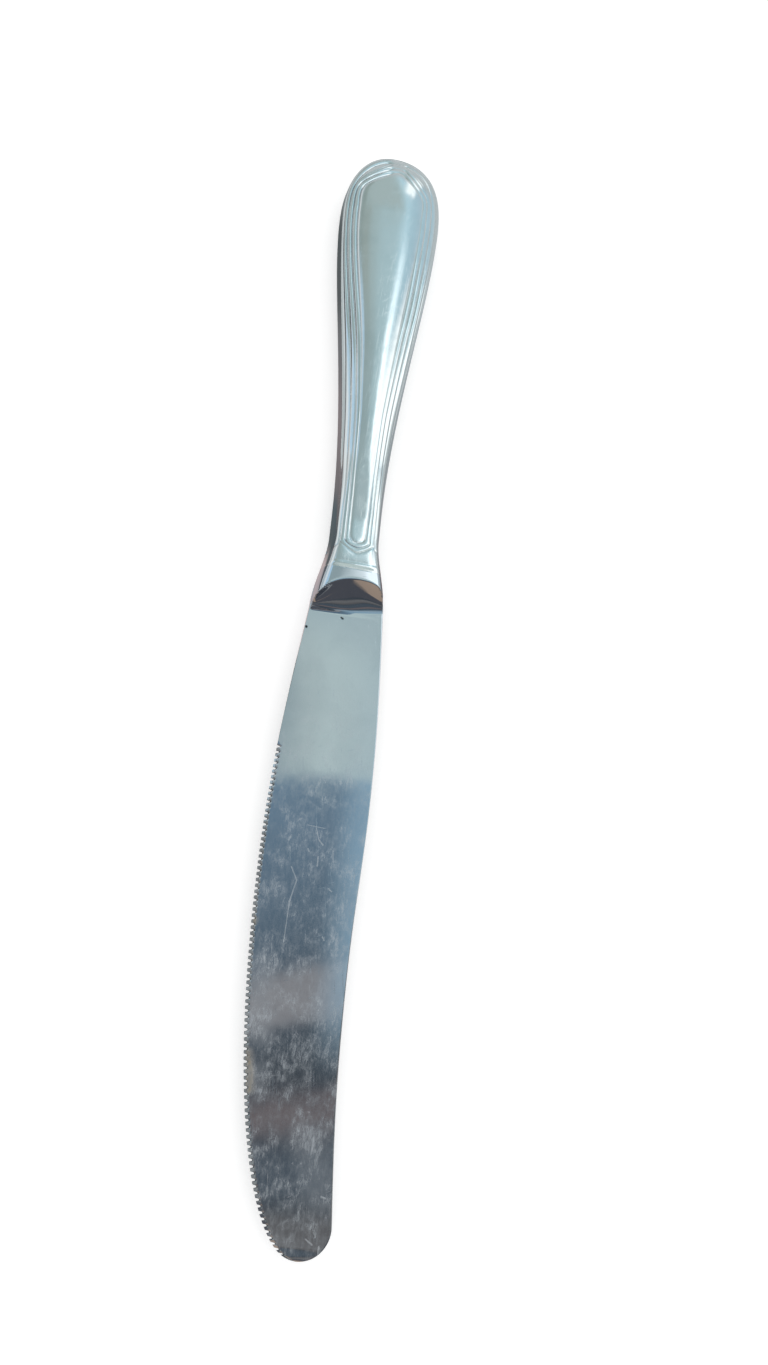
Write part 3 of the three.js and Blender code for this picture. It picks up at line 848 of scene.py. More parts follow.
neck_ring = finished(neck_ring_mesh(), "neck_ring", "braze", "neck_braze")
neck_ring.data.set_sharp_from_angle(angle=BRAZE_CREASE)

# %% [markdown]
# ## Shared wear
#
# Used cutlery carries four kinds of mark: hairline scratches from scouring, soft smears from fingers
# and drying water, small specks, and a few single strokes where something hard slipped. They could
# be painted as images, but noise stays sharp from near and needs no unwrapping. Each is a node group
# that is built once. A group takes a place on the piece and gives back a mask, and each steel
# decides what the mask does to it.

# %% Node helpers
class Nodes:
    """Short ways to add nodes to a tree. An input is a plain value or the output of another node."""

    def __init__(self, tree):
        self.tree = tree

    def fill(self, made, inputs):
        """Gives a node its inputs, by name or number. A colour is three numbers."""
        for name, value in inputs.items():
            socket = made.inputs[name]
            if isinstance(value, bpy.types.NodeSocket):
                self.tree.links.new(value, socket)
            elif socket.type == "RGBA":
                socket.default_value = (*value, 1)
            else:
                socket.default_value = value

    def add(self, kind, inputs=None, **settings):
        """A new node of one kind, with its settings and its inputs."""
        made = self.tree.nodes.new("ShaderNode" + kind)
        for name, value in settings.items():
            setattr(made, name, value)
        self.fill(made, inputs or {})
        return made

    def calc(self, operation, *values):
        return self.add("Math", dict(enumerate(values)), operation=operation).outputs[0]

    def times(self, first, second):
        return self.calc("MULTIPLY", first, second)

    def plus(self, base, *parts):
        """A base, with each mask times its amount added to it."""
        for mask, amount in parts:
            base = self.calc("MULTIPLY_ADD", mask, amount, base)
        return base

    def most(self, *masks):
        """The highest of some masks."""
        joined = masks[0]
        for mask in masks[1:]:
            joined = self.calc("MAXIMUM", joined, mask)
        return joined

    def vector(self, operation, *values):
        """A sum with places: another place, or a number where the operation measures."""
        made = self.add("VectorMath", dict(enumerate(values)), operation=operation)
        measures = ("DOT_PRODUCT", "DISTANCE", "LENGTH")
        return made.outputs["Value" if operation in measures else "Vector"]

    def split(self, place):
        """X, Y and Z of a place."""
        return list(self.add("SeparateXYZ", {"Vector": place}).outputs)

    def run(self, value, start, end, kind="LINEAR"):
        """A mask that runs evenly from 0 to 1 between two values."""
        ends = {"Value": value, "From Min": start, "From Max": end}
        return self.add("MapRange", ends, interpolation_type=kind).outputs["Result"]

    def smooth(self, value, start, end):
        """A mask that runs softly from 0 to 1 between two values."""
        return self.run(value, start, end, "SMOOTHSTEP")

    def blend(self, mask, first, second):
        """A colour between two others."""
        return self.add("Mix", {0: mask, 6: first, 7: second}, data_type="RGBA").outputs[2]


print("node helpers:", [name for name in vars(Nodes) if not name.startswith("_")])

# %% A new group
def new_group(name, numbers, places=("Vector",)):
    """A shader node group that takes places and numbers and gives back a Mask."""
    tree = bpy.data.node_groups.new(name, "ShaderNodeTree")
    for label in places:
        tree.interface.new_socket(label, in_out="INPUT", socket_type="NodeSocketVector")
    for label, value in numbers.items():
        socket = tree.interface.new_socket(label, in_out="INPUT", socket_type="NodeSocketFloat")
        socket.default_value = value
    tree.interface.new_socket("Mask", in_out="OUTPUT", socket_type="NodeSocketFloat")
    given = tree.nodes.new("NodeGroupInput").outputs
    return Nodes(tree), given, tree.nodes.new("NodeGroupOutput")


print("groups so far:", len(bpy.data.node_groups))

# %% Hairline scratches
SOFT_CUT = 0.06
hairlines, given, out = new_group(
    "hairlines", {"Turn": 0.0, "Length": 4 * MM, "Width": 0.1 * MM, "Least": 0.66}
)
turn = {"Vector": given["Vector"], "Angle": given["Turn"]}
turned = hairlines.add("VectorRotate", turn, rotation_type="Z_AXIS").outputs[0]
fine = hairlines.calc("DIVIDE", 1.0, given["Width"])
long = hairlines.calc("DIVIDE", 1.0, given["Length"])
squeeze = hairlines.add("CombineXYZ", {"X": long, "Y": fine, "Z": fine}).outputs[0]
stretched = hairlines.vector("MULTIPLY", turned, squeeze)
streaks = hairlines.add("TexNoise", {"Vector": stretched, "Scale": 1.0, "Detail": 1.0})
most = hairlines.calc("ADD", given["Least"], SOFT_CUT)
cut = hairlines.run(streaks.outputs["Fac"], given["Least"], most)
hairlines.fill(out, {"Mask": cut})
print("hairlines:", len(hairlines.tree.nodes), "nodes")

# %% Smears
smears, given, out = new_group("smears", {"Size": 6 * MM, "Least": 0.45, "Most": 0.7})
grain = smears.calc("DIVIDE", 1.0, given["Size"])
texture = {"Vector": given["Vector"], "Scale": grain, "Detail": 6.0, "Roughness": 0.62, "Distortion": 0.4}
cloud = smears.add("TexNoise", texture).outputs["Fac"]
smears.fill(out, {"Mask": smears.smooth(cloud, given["Least"], given["Most"])})
print("smears:", len(smears.tree.nodes), "nodes")

# %% Specks
specks, given, out = new_group("specks", {"Spacing": 2 * MM, "Radius": 0.12, "Share": 0.4})
grain = specks.calc("DIVIDE", 1.0, given["Spacing"])
cells = specks.add("TexVoronoi", {"Vector": given["Vector"], "Scale": grain}).outputs
pick = specks.add("SeparateColor", {"Color": cells["Color"]}).outputs
chosen = specks.calc("LESS_THAN", pick["Red"], given["Share"])
size = specks.times(pick["Green"], given["Radius"])
dot = specks.run(cells["Distance"], size, 0.0)
specks.fill(out, {"Mask": specks.times(dot, chosen)})
print("specks:", len(specks.tree.nodes), "nodes")

# %% Single strokes
strokes, given, out = new_group("strokes", {"Width": 0.2 * MM}, ("Vector", "From", "To"))
gap = strokes.vector("SUBTRACT", given["Vector"], given["From"])
run = strokes.vector("SUBTRACT", given["To"], given["From"])
ahead = strokes.vector("DOT_PRODUCT", gap, run)
whole = strokes.vector("DOT_PRODUCT", run, run)
share = strokes.calc("MAXIMUM", strokes.calc("DIVIDE", ahead, whole), 0.0)
share = strokes.calc("MINIMUM", share, 1.0)
nearest = strokes.add("VectorMath", {0: run, "Scale": share}, operation="SCALE").outputs[0]
away = strokes.vector("DISTANCE", gap, nearest)
strokes.fill(out, {"Mask": strokes.smooth(away, given["Width"], 0.0)})
print("strokes:", len(strokes.tree.nodes), "nodes")

# %% [markdown]
# ## Handle steel
#
# The shells are polished stainless steel with a soft shine. Years of hands and dishwashers have
# left smears and fine scratches, and the grooves of the threads hold a little dark tarnish, which
# the mesh carries as an attribute. The grooves are darkened more by the cutting edge than by the
# spine, and that difference is painted shade. A plain grey metal would look like plastic, so colour
# and roughness both change over the surface, and a faint bump bends the reflections.

# %% Material helpers
def new_metal(name):
    """A metal, its nodes, its shader, and the place on the piece that patterns follow."""
    material = bpy.data.materials.new(name)
    material.use_nodes = True
    nodes = Nodes(material.node_tree)
    shader = nodes.tree.nodes["Principled BSDF"]
    nodes.fill(shader, {"Metallic": 1.0})
    return material, nodes, shader, nodes.add("TexCoord").outputs["Object"]


def wear(nodes, group, place, **values):
    """Mask of one kind of wear on a piece."""
    return nodes.add("Group", {"Vector": place, **values}, node_tree=group.tree).outputs["Mask"]


def ripples(nodes, place, scale):
    """The soft unevenness that polishing leaves."""
    return nodes.add("TexNoise", {"Vector": place, "Scale": scale, "Detail": 2.0}).outputs["Fac"]


def bump(nodes, height, distance):
    bent = nodes.add("Bump", {"Height": height, "Distance": distance, "Strength": 1.0})
    return bent.outputs["Normal"]


print("material helpers are ready")

# %% Make the handle steel
# The dark groove colour is tarnish, and where it is stronger by the cutting edge it is also painted shade.
POLISHED, FINGERED, TARNISHED_AND_SHADED = (0.70, 0.72, 0.72), (0.65, 0.68, 0.68), (0.28, 0.29, 0.29)
handle_steel, nodes, shader, place = new_metal("handle_steel")
smear = wear(nodes, smears, place, Size=9 * MM)
haze = wear(nodes, smears, place, Size=2.2 * MM, Least=0.5, Most=0.75)
along = wear(nodes, hairlines, place, Turn=0.08, Length=7 * MM, Width=0.12 * MM, Least=0.64)
aslant = wear(nodes, hairlines, place, Turn=0.9, Length=4 * MM, Width=0.1 * MM, Least=0.69)
scratch = nodes.most(along, aslant)
groove = nodes.add("Attribute", attribute_name="groove").outputs["Fac"]
colour = nodes.blend(smear, POLISHED, FINGERED)
height = nodes.plus(ripples(nodes, place, 180.0), (scratch, -0.06))
nodes.fill(shader, {
    "Base Color": nodes.blend(nodes.times(groove, 0.4), colour, TARNISHED_AND_SHADED),
    "Roughness": nodes.plus(0.09, (haze, 0.06), (scratch, 0.14), (groove, 0.1)),
    "Normal": bump(nodes, height, 0.02 * MM),
})
for piece in (front_shell, rear_shell):
    piece.data.materials.append(handle_steel)
print(handle_steel.name, len(nodes.tree.nodes), "nodes")

# %% [markdown]
# ## Blade steel
#
# The blade is harder and brighter than the handle, nearly a mirror, so every mark shows where it
# reflects something dark. Dried water and old polish leave a thin milky film in clouds and short
# flecks that are drawn out along the blade, and film scatters light, so it takes a little off the
# metal instead of only roughening it. A bent scratch and some nicks lie where the real ones do, tan
# stains have started near the edge, and there are two dark pits by the bolster.

# %% Single marks on the blade
SPOT_CORE = 0.4
BENT_SCRATCH = [((171.2, -5.2), (173.7, -3.9)), ((173.7, -3.9), (177.9, -4.8))]
NICKS = [
    ((167.3, -2.4), (167.8, -2.1)), ((174.7, 2.6), (175.1, 3.2)), ((168.7, -0.2), (170.5, -0.2)),
    ((184.0, 2.4), (184.6, 2.8)), ((165.3, -0.4), (166.2, 0.5)), ((230.4, 7.4), (230.6, 8.2)),
    ((238.8, 7.9), (240.0, 7.9)), ((237.7, 5.4), (238.5, 6.6)),
]
FINE_SCRATCHES = [
    ((177.9, -4.8), (185.7, -5.0)), ((162.6, -3.0), (162.9, 0.6)), ((163.0, -1.2), (165.6, -0.3)),
    ((167, 2.6), (169.4, 2.9)),
]


def flat_place(x, y):
    """A place on the knife, given in millimetres, without its height."""
    return placed(x * MM, y * MM, 0).to_2d().to_3d()


def spot(nodes, place, x, y, radius):
    """A soft round mask at one place, seen from above."""
    away = nodes.vector("DISTANCE", place, flat_place(x, y))
    return nodes.smooth(away, radius * MM, SPOT_CORE * radius * MM)


def stroke(nodes, place, start, end, width):
    """A straight mark between two places, seen from above."""
    ends = {"From": flat_place(*start), "To": flat_place(*end)}
    return wear(nodes, strokes, place, Width=width * MM, **ends)


print(len(BENT_SCRATCH) + len(NICKS) + len(FINE_SCRATCHES), "single marks")

# %% Film and scratches of the blade
blade_steel, nodes, shader, place = new_metal("blade_steel")
x, _, z = nodes.split(place)
flat = nodes.vector("MULTIPLY", place, (1, 1, 0))
drawn = nodes.vector("MULTIPLY", place, (0.4, 1, 1))
smear = wear(nodes, smears, place, Size=11 * MM, Least=0.42, Most=0.72)
cloud = wear(nodes, smears, place, Size=4.2 * MM, Least=0.4, Most=0.66)
mottle = wear(nodes, smears, drawn, Size=0.8 * MM, Least=0.42, Most=0.7)
drops = wear(nodes, specks, place, Spacing=1.7 * MM, Radius=0.2, Share=0.4)
flecks = wear(nodes, hairlines, place, Turn=0.06, Length=1.8 * MM, Width=0.24 * MM, Least=0.56)
grains = wear(nodes, hairlines, place, Turn=-0.1, Length=0.7 * MM, Width=0.24 * MM, Least=0.54)
steep = wear(nodes, hairlines, place, Turn=1.25, Length=4 * MM, Width=0.12 * MM, Least=0.76)
lengthwise = wear(nodes, hairlines, place, Turn=-0.12, Length=6 * MM, Width=0.12 * MM, Least=0.73)
scratch = nodes.most(steep, lengthwise)
dust = nodes.times(nodes.most(flecks, grains), nodes.plus(0.2, (cloud, 0.8)))
wiped = nodes.most(
    stroke(nodes, flat, (190, -9), (203, -7.5), 4.5),
    stroke(nodes, flat, (221, 4), (230, 7), 6),
    stroke(nodes, flat, (209.5, -7), (213, -6.4), 3),
)
film = nodes.times(nodes.plus(0.25, (cloud, 0.75)), nodes.plus(0.25, (mottle, 0.75)))
film = nodes.plus(film, (dust, 0.4), (wiped, 0.35))
film = nodes.times(film, nodes.smooth(x, BUTT_X + 112 * MM, BUTT_X + 170 * MM))
print("film and scratches:", len(nodes.tree.nodes), "nodes")

# %% Cuts, stains and pits of the front face
upper = nodes.calc("GREATER_THAN", z, SEAM_Z)
marks = []
for width, lines in ((0.22, BENT_SCRATCH), (0.26, NICKS), (0.14, FINE_SCRATCHES)):
    marks += [stroke(nodes, flat, *ends, width) for ends in lines]
cuts = nodes.times(nodes.most(*marks), upper)
rust = nodes.most(
    stroke(nodes, flat, (206.6, -9.1), (213.0, -8.0), 1.5),
    spot(nodes, flat, 182.4, -11.6, 1.6),
)
rust = nodes.times(nodes.times(rust, nodes.plus(0.5, (mottle, 0.5))), upper)
pit = nodes.most(
    stroke(nodes, flat, (118.15, -1.0), (118.27, -0.7), 0.42),
    spot(nodes, flat, 121.3, -8.1, 0.4),
)
pit = nodes.times(pit, upper)
print("with cuts, stains and pits:", len(nodes.tree.nodes), "nodes")

# %% Put the blade steel together
BRIGHT, SMEARED, RUST, PIT = (0.58, 0.63, 0.67), (0.54, 0.59, 0.63), (0.38, 0.32, 0.23), (0.02, 0.025, 0.03)
LEAST_METAL = 0.2
colour = nodes.blend(smear, BRIGHT, SMEARED)
colour = nodes.blend(rust, colour, RUST)
metal = nodes.plus(1.0, (film, -0.38), (scratch, -0.12), (drops, -0.3), (cuts, -0.4), (rust, -0.5))
height = nodes.plus(ripples(nodes, place, 110.0), (scratch, -0.15), (pit, -1.5))
nodes.fill(shader, {
    "Base Color": nodes.blend(pit, colour, PIT),
    "Metallic": nodes.calc("MAXIMUM", metal, LEAST_METAL),
    "Roughness": nodes.plus(0.06, (smear, 0.03), (film, 0.08), (scratch, 0.2), (rust, 0.4)),
    "Normal": bump(nodes, height, 0.015 * MM),
})
forged_blade.data.materials.append(blade_steel)
print(blade_steel.name, len(nodes.tree.nodes), "nodes")

# %% [markdown]
# ## Braze and filler
#
# The braze is a little yellower and duller than the steel beside it. One flat colour would do for
# such thin lines, but the shared smears tie them to the steel. The filler is a hard cement that
# nobody sees until a handle comes off, so its CAD solid stays and only gets a finish.

# %% Make the braze
braze, nodes, shader, place = new_metal("braze")
dull = wear(nodes, smears, place, Size=3 * MM)
nodes.fill(shader, {
    "Base Color": nodes.blend(dull, (0.71, 0.72, 0.71), (0.63, 0.63, 0.61)),
    "Roughness": nodes.plus(0.15, (dull, 0.15)),
})
for piece in (seam_line, neck_ring):
    piece.data.materials.append(braze)
print(braze.name, len(nodes.tree.nodes), "nodes")

# %% Make the filler
filler, nodes, shader, place = new_metal("filler")
lumps = wear(nodes, smears, place, Size=4 * MM)
grit = wear(nodes, specks, place, Spacing=0.8 * MM, Radius=0.5, Share=0.7)
colour = nodes.blend(lumps, (0.30, 0.27, 0.23), (0.22, 0.19, 0.16))
nodes.fill(shader, {
    "Metallic": 0.0,
    "Base Color": nodes.blend(grit, colour, (0.44, 0.41, 0.36)),
    "Roughness": nodes.plus(0.95, (grit, -0.2)),
    "Normal": bump(nodes, grit, 0.1 * MM),
})
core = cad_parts["handle_filler"]
core.data.materials.clear()
core.data.materials.append(filler)
print(filler.name, len(nodes.tree.nodes), "nodes")

# %% [markdown]
# ## Floor
#
# The knife lies on a plain white table. A white world alone would show no shadow, so the floor is a
# wide diffuse sheet that keeps the soft one beside the knife. A little extra white, seen only by
# the camera and in the metal, lifts it to paper white.

# %% Make the floor
FLOOR_HALF, FLOOR_GAP = 3, 0.02 * MM
PAPER = (0.86, 0.86, 0.86)
PAPER_LIFT = 0.46


def stage_sheet(name, corner, along, across):
    """A flat sheet of the stage, from one corner along two of its edges."""
    bm = bmesh.new()
    bmesh.ops.create_grid(bm, x_segments=1, y_segments=1, size=1)
    for vert in bm.verts:
        u, v = (vert.co.x + 1) / 2, (vert.co.y + 1) / 2
        vert.co = Vector(corner) + u * Vector(along) + v * Vector(across)
    sheet = as_object(bm, name)
    return sheet


def seen_itself(nodes):
    """1 where the camera, metal or glass sees a thing itself, and 0 where it only gives light."""
    rays = nodes.add("LightPath").outputs
    return nodes.most(rays["Is Camera Ray"], rays["Is Glossy Ray"], rays["Is Transmission Ray"])


corner = (-FLOOR_HALF, -FLOOR_HALF, cad_low.z - FLOOR_GAP)
floor = stage_sheet("floor", corner, (2 * FLOOR_HALF, 0, 0), (0, 2 * FLOOR_HALF, 0))
paper = bpy.data.materials.new("white_paper")
paper.use_nodes = True
nodes = Nodes(paper.node_tree)
nodes.fill(nodes.tree.nodes["Principled BSDF"], {
    "Base Color": PAPER,
    "Roughness": 0.9,
    "Specular IOR Level": 0.0,
    "Emission Color": (1, 1, 1),
    "Emission Strength": nodes.times(seen_itself(nodes), PAPER_LIFT),
})
floor.data.materials.append(paper)
print("floor at", round(cad_low.z, 5))

# %% [markdown]
# ## Light
#
# A soft sky, white to the camera and in the metal, and one broad lamp light the table evenly. But
# polished metal shows the room more than it shows itself, so the room is built for the metal alone,
# out of glowing sheets that only reflections see. A dome stands for the walls, the ceiling and a
# window, and cards stand for what is near. An image of a real room could do the same, but sheets
# need no file, and each colour can be moved by itself.

# %% World and lamp
SKY_LIGHT, SKY_WHITE = 0.68, 0.32
world = bpy.data.worlds.new("white_sky")
bpy.context.scene.world = world
world.use_nodes = True
nodes = Nodes(world.node_tree)
nodes.fill(nodes.tree.nodes["Background"], {
    "Color": (1, 1, 1),
    "Strength": nodes.plus(SKY_LIGHT, (seen_itself(nodes), SKY_WHITE)),
})


def lamp(name, place, aim, width, length, radiance):
    """A soft rectangular lamp. Its power follows from its size and from how bright it looks."""
    data = bpy.data.lights.new(name, "AREA")
    data.shape = "RECTANGLE"
    data.size, data.size_y = width, length
    data.energy = radiance * math.pi * width * length
    made = in_scene(name, data)
    made.location = place
    made.rotation_euler = (Vector(aim) - Vector(place)).to_track_quat("-Z", "Y").to_euler()
    return made


fill = lamp("fill_lamp", (0.1, -0.2, 1.2), (0, 0, 0), 1.0, 1.0, 0.6)
fill.visible_glossy = False
print("lamp:", fill.name, "of", round(fill.data.energy, 2), "watts")

# %% Glowing sheets
def glowing(sheet, colour):
    """Makes a sheet glow in one colour, or as a function of its nodes says, for reflections only."""
    material = bpy.data.materials.new(sheet.name)
    material.use_nodes = True
    nodes = Nodes(material.node_tree)
    nodes.tree.nodes.remove(nodes.tree.nodes["Principled BSDF"])
    glow = nodes.add("Emission", {"Color": colour(nodes) if callable(colour) else colour})
    nodes.fill(nodes.tree.nodes["Material Output"], {"Surface": glow.outputs[0]})
    sheet.data.materials.append(material)
    sheet.visible_camera = False
    sheet.visible_diffuse = False
    sheet.visible_shadow = False
    sheet.visible_transmission = False


def ramp(nodes, value, stops):
    """A colour that follows a value through a few stops."""
    low, high = stops[0][0], stops[-1][0]
    made = nodes.add("ValToRGB", {"Fac": nodes.run(value, low, high)})
    made.color_ramp.interpolation = "EASE"
    first, last = made.color_ramp.elements
    first.color, last.color = (*stops[0][1], 1), (*stops[-1][1], 1)
    for at, colour in stops[1:-1]:
        made.color_ramp.elements.new((at - low) / (high - low)).color = (*colour, 1)
    return made.outputs["Color"]


def band(nodes, value, low, high, soft):
    """A mask that is 1 between two values and fades over a soft edge on either side."""
    after = nodes.smooth(value, low - soft, low + soft)
    return nodes.times(after, nodes.smooth(value, high + soft, high - soft))


def stage_place(nodes):
    """X, Y and Z on a sheet of the stage."""
    return nodes.split(nodes.add("TexCoord").outputs["Object"])


print("glowing sheets are ready")

# %% [markdown]
# ## The room above
#
# What a curved handle mirrors depends on direction more than on place, so the dome's colours are
# laid out by how far a direction leans along and across the knife for each metre that it rises:
# grey-green overhead, paler and bluer to the sides, a window with a bright edge that runs down the
# handle as a streak, and a lamp low behind the butt.

# %% Walls and ceiling
CEILING = [
    (-1.5, (0.60, 0.71, 0.77)), (-0.75, (0.57, 0.68, 0.72)), (-0.35, (0.37, 0.46, 0.45)),
    (-0.1, (0.42, 0.505, 0.49)), (0.05, (0.47, 0.61, 0.63)), (0.15, (0.51, 0.69, 0.74)),
    (0.3, (0.60, 0.86, 0.97)), (0.5, (0.51, 0.73, 0.84)), (0.8, (0.52, 0.70, 0.80)),
    (1.5, (0.60, 0.76, 0.83)),
]


def wall_patches(nodes, along, across):
    """Two masks and a colour for each patch: behind the butt, to the left, overhead, by the tongue."""
    behind = nodes.smooth(along, -0.81, -0.89), band(nodes, across, -0.2, 0.25, 0.08)
    far_left = nodes.smooth(along, -0.6, -0.7), nodes.smooth(across, -0.5, -0.8)
    beside = band(nodes, along, -0.66, -0.47, 0.05), band(nodes, across, -1.5, -0.29, 0.08)
    overhead = nodes.smooth(along, -0.68, -0.56), band(nodes, across, -0.22, 0.13, 0.04)
    over_tongue = band(nodes, along, -0.515, -0.46, 0.015), band(nodes, across, 0.08, 0.2, 0.03)
    return [
        (*behind, (0.49, 0.605, 0.61)), (*far_left, (0.98, 1.03, 1.05)), (*beside, (0.63, 0.86, 1.06)),
        (*overhead, (0.40, 0.52, 0.54)), (*over_tongue, (0.41, 0.52, 0.545)),
    ]


def dim_patches(nodes, along, across):
    """Two masks and a colour for the dim walls beside the blade, left and right."""
    left = nodes.smooth(along, -0.42, -0.3), nodes.smooth(across, -0.15, -0.35)
    right = nodes.smooth(along, -0.12, -0.02), nodes.smooth(across, 0.5, 0.7)
    return [(*left, (0.3, 0.3, 0.29)), (*right, (0.24, 0.21, 0.19))]


print(len(CEILING), "stops across the ceiling")

# %% Window, streak and low lamp
WINDOW = (1.5, 1.58, 1.6)
GLARE_BUTT, GLARE_NECK = (1.05, 1.3, 1.4), (1.65, 1.88, 1.97)
STREAK_ACROSS = 0.2
LOW_LAMP, LOW_LAMP_LEFT = (1.4, 1.5, 1.52), 0.32


def window_patches(nodes, along, across):
    """Two masks and a colour for the window, the plain wall over the bolster and the glow beside it."""
    slanted = nodes.plus(along, (across, 0.4))
    window_edge = nodes.plus(across, (nodes.smooth(along, -0.505, -0.475), -0.1))
    window = nodes.times(nodes.smooth(slanted, -0.54, -0.42), nodes.smooth(window_edge, 0.185, 0.215))
    over_bolster = band(nodes, along, -0.445, -0.355, 0.015)
    return [
        (window, nodes.smooth(along, -0.36, -0.45), WINDOW),
        (over_bolster, band(nodes, across, -0.3, 0.25, 0.05), (0.42, 0.51, 0.52)),
        (over_bolster, nodes.smooth(across, 0.145, 0.19), WINDOW),
    ]


def streak_patches(nodes, along, across, aside):
    """Two masks and a colour for the streak down the handle and for the lamp low behind the butt."""
    bend = nodes.calc("MAXIMUM", nodes.plus(-0.31, (along, -0.5)), 0.0)
    off = nodes.calc("SUBTRACT", nodes.calc("SUBTRACT", across, bend), STREAK_ACROSS)
    streak = nodes.times(nodes.smooth(off, -0.015, 0.015), nodes.smooth(off, 0.17, 0.07))
    glare = nodes.blend(nodes.smooth(along, -0.74, -0.62), GLARE_BUTT, GLARE_NECK)
    turned = nodes.calc("ABSOLUTE", nodes.calc("ADD", aside, LOW_LAMP_LEFT))
    return [
        (streak, band(nodes, along, -0.79, -0.5, 0.04), glare),
        (nodes.smooth(along, -1.15, -1.35), nodes.smooth(turned, 0.12, 0.05), LOW_LAMP),
    ]


print("streak leans", STREAK_ACROSS, "to the side of the spine")

# %% Room dome
DOME_RADIUS = 2.8
LOW_WALL, LOW_WALL_STARTS = (0.62, 0.68, 0.70), (1.9, 2.9)


def room_colours(nodes):
    x, y, z = stage_place(nodes)
    x = nodes.calc("ADD", x, -BUTT_X / 2)
    along = nodes.calc("DIVIDE", x, z)
    across = nodes.calc("DIVIDE", y, z)
    patches = wall_patches(nodes, along, across) + window_patches(nodes, along, across)
    patches += streak_patches(nodes, along, across, nodes.calc("DIVIDE", y, x))
    patches += dim_patches(nodes, along, across)
    shown = ramp(nodes, across, CEILING)
    for first, second, colour in patches:
        shown = nodes.blend(nodes.times(first, second), shown, colour)
    lean = nodes.add("CombineXYZ", {"X": along, "Y": across}).outputs[0]
    low = nodes.smooth(nodes.vector("LENGTH", lean), *LOW_WALL_STARTS)
    return nodes.blend(low, shown, LOW_WALL)


bm = bmesh.new()
bmesh.ops.create_uvsphere(bm, u_segments=48, v_segments=24, radius=DOME_RADIUS)
room_dome = as_object(bm, "room_dome")
glowing(room_dome, room_colours)
print("room dome is", round(2 * DOME_RADIUS, 1), "m wide")

# %% [markdown]
# ## What is near the knife
#
# The flat blade mirrors a small patch above it, so there place counts. Two cards at the height of
# the camera show it pale by the bolster, then slate that darkens towards the tip, with warmer
# strips, and bluer on the side of the spine. A dark wall past the tip and a tan card before it
# colour the scoop. A low wall on the left and two cards on the table colour the knife's sides.

# %% How the cards are coloured
STRIP_SLANT = 0.17
BLUE_SIDE, BLUE_SHARE = (0.46, 0.68, 0.83), 0.6
BLUE_ACROSS, BLUE_ALONG = (0.028, 0.056), (0.108, 0.068)
BUTT_FADES = (BUTT_X + 60 * MM, BUTT_X + 25 * MM)


def over_blade(near, far, start, end, strips):
    """A colour that runs from near to far along the knife, with strips across it and a bluer side."""
    def colour(nodes):
        x, y, _ = stage_place(nodes)
        x = nodes.plus(x, (y, STRIP_SLANT))
        shown = nodes.blend(nodes.run(x, BUTT_X + start * MM, BUTT_X + end * MM), near, far)
        for low, high, soft, strip in strips:
            mask = band(nodes, x, BUTT_X + low * MM, BUTT_X + high * MM, soft * MM)
            shown = nodes.blend(mask, shown, strip)
        side = nodes.times(nodes.smooth(y, *BLUE_ACROSS), nodes.smooth(x, *BLUE_ALONG))
        return nodes.blend(nodes.times(side, BLUE_SHARE), shown, BLUE_SIDE)
    return colour


def by_side(stops, near=None, lean=0.0):
    """A colour that changes across the knife, on a slant if asked, and may fade to another at the butt."""
    def colour(nodes):
        x, y, z = stage_place(nodes)
        shown = ramp(nodes, nodes.plus(y, (z, -lean)), stops)
        if near is None:
            return shown
        return nodes.blend(nodes.smooth(x, *BUTT_FADES), shown, near)
    return colour


def along_table(stops):
    """A colour of the table that only changes along the knife."""
    def colour(nodes):
        x, _, _ = stage_place(nodes)
        return ramp(nodes, x, [(BUTT_X + at * MM, shade) for at, shade in stops])
    return colour


print("strips lie on a slant of", STRIP_SLANT)

# %% Colours of the cards
slate = over_blade((0.20, 0.302, 0.40), (0.062, 0.073, 0.088), 99.3, 218, [
    (179, 200, 2, (0.335, 0.315, 0.32)),
    (227, 241, 3, (0.21, 0.17, 0.17)),
    (244, 268, 6, (0.09, 0.112, 0.138)),
    (273, 300, 3, (0.155, 0.145, 0.145)),
    (285, 300, 3, (0.20, 0.19, 0.19)),
])
pale = by_side([
    (-0.03, (0.46, 0.55, 0.56)), (0.0, (0.62, 0.715, 0.70)), (0.02, (0.68, 0.79, 0.77)),
    (0.06, (0.61, 0.73, 0.74)),
], near=(0.56, 0.67, 0.68))
tan = by_side([
    (-0.1, (0.42, 0.29, 0.23)), (-0.042, (0.50, 0.36, 0.27)), (0.004, (0.46, 0.335, 0.26)),
    (0.010, (0.22, 0.18, 0.16)), (0.016, (0.095, 0.095, 0.11)),
], lean=0.35)
left_table = along_table([
    (0, (0.36, 0.39, 0.40)), (20, (0.11, 0.125, 0.13)), (36, (0.12, 0.13, 0.135)),
    (48, (0.21, 0.21, 0.22)), (70, (0.30, 0.26, 0.27)), (84, (0.22, 0.20, 0.21)),
    (91, (0.12, 0.15, 0.17)), (98, (0.12, 0.14, 0.15)), (104, (0.60, 0.50, 0.50)),
    (122, (0.60, 0.50, 0.50)), (129, (0.10, 0.11, 0.11)),
])
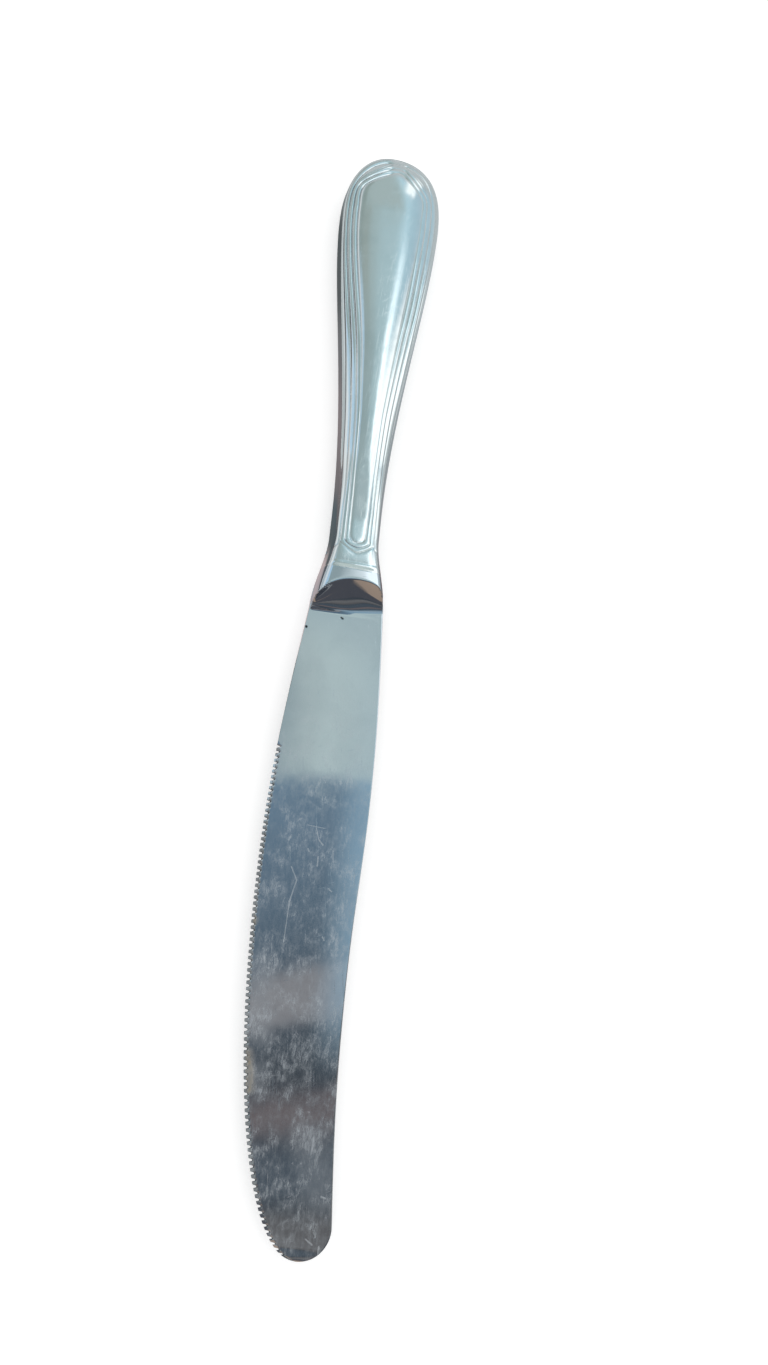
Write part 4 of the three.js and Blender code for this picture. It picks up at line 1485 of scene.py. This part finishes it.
right_table = along_table([
    (0, (0.50, 0.56, 0.58)), (30, (0.50, 0.56, 0.60)), (60, (0.42, 0.46, 0.48)),
    (97, (0.36, 0.38, 0.40)), (104, (0.20, 0.15, 0.15)), (124, (0.20, 0.15, 0.15)),
    (131, (0.30, 0.30, 0.30)),
])
print("card colours are ready")

# %% Cards near the knife
OVER = SEAM_Z + 234.6 * MM
TABLE = cad_low.z + 0.2 * MM
cards = [
    ("pale_card", (BUTT_X + 20 * MM, -0.08, OVER), (79.3 * MM, 0, 0), (0, 0.24, 0), pale),
    ("slate_card", (BUTT_X + 99.3 * MM, -0.08, OVER), (0.2007, 0, 0), (0, 0.24, 0), slate),
    ("far_wall", (BUTT_X + 0.3, -0.12, TABLE), (0, 0.52, 0), (0, 0, OVER), (0.095, 0.095, 0.11)),
    ("tan_card", (BUTT_X + 0.298, -0.055, 0.01), (0, 0.145, 0), (0, 0, 0.145), tan),
    ("left_wall", (-0.08, -0.3, TABLE), (0.48, 0, 0), (0, 0, 0.16), (0.07, 0.075, 0.08)),
    ("left_table", (-0.25, -0.13, TABLE), (0.5, 0, 0), (0, 0.13, 0), left_table),
    ("right_table", (-0.25, 0, TABLE), (0.5, 0, 0), (0, 0.25, 0), right_table),
]
for name, corner, along, across, colour in cards:
    glowing(stage_sheet(name, corner, along, across), colour)
print("cards:", [card[0] for card in cards])

# %% [markdown]
# ## Camera
#
# The photograph was taken from above, off the cutting edge's side and nearer to the tip, so the
# blade looks longer than the handle. A camera can be set by eye, but the place and the turn of this
# one come from fitting the knife's own points, such as its evenly spaced teeth, to where they are in
# the photograph, because then every piece can be compared with it.

# %% Camera
PHOTO_HEIGHT = 1365
FOCAL_PIXELS = 1200
SENSOR = 36
CAMERA_PLACE = (207.17, -37.26, 234.62)
CAMERA_TURN = (16.609, -13.0, 95.565)
camera_data = bpy.data.cameras.new("camera")
camera_data.sensor_width = SENSOR
camera_data.lens = SENSOR * FOCAL_PIXELS / PHOTO_HEIGHT
camera = in_scene("camera", camera_data)
camera.location = placed(*(part * MM for part in CAMERA_PLACE))
camera.rotation_euler = [math.radians(part) for part in CAMERA_TURN]
bpy.context.scene.camera = camera
bpy.context.scene.view_settings.view_transform = "Standard"
print("camera at", tuple(round(c, 4) for c in camera.location))
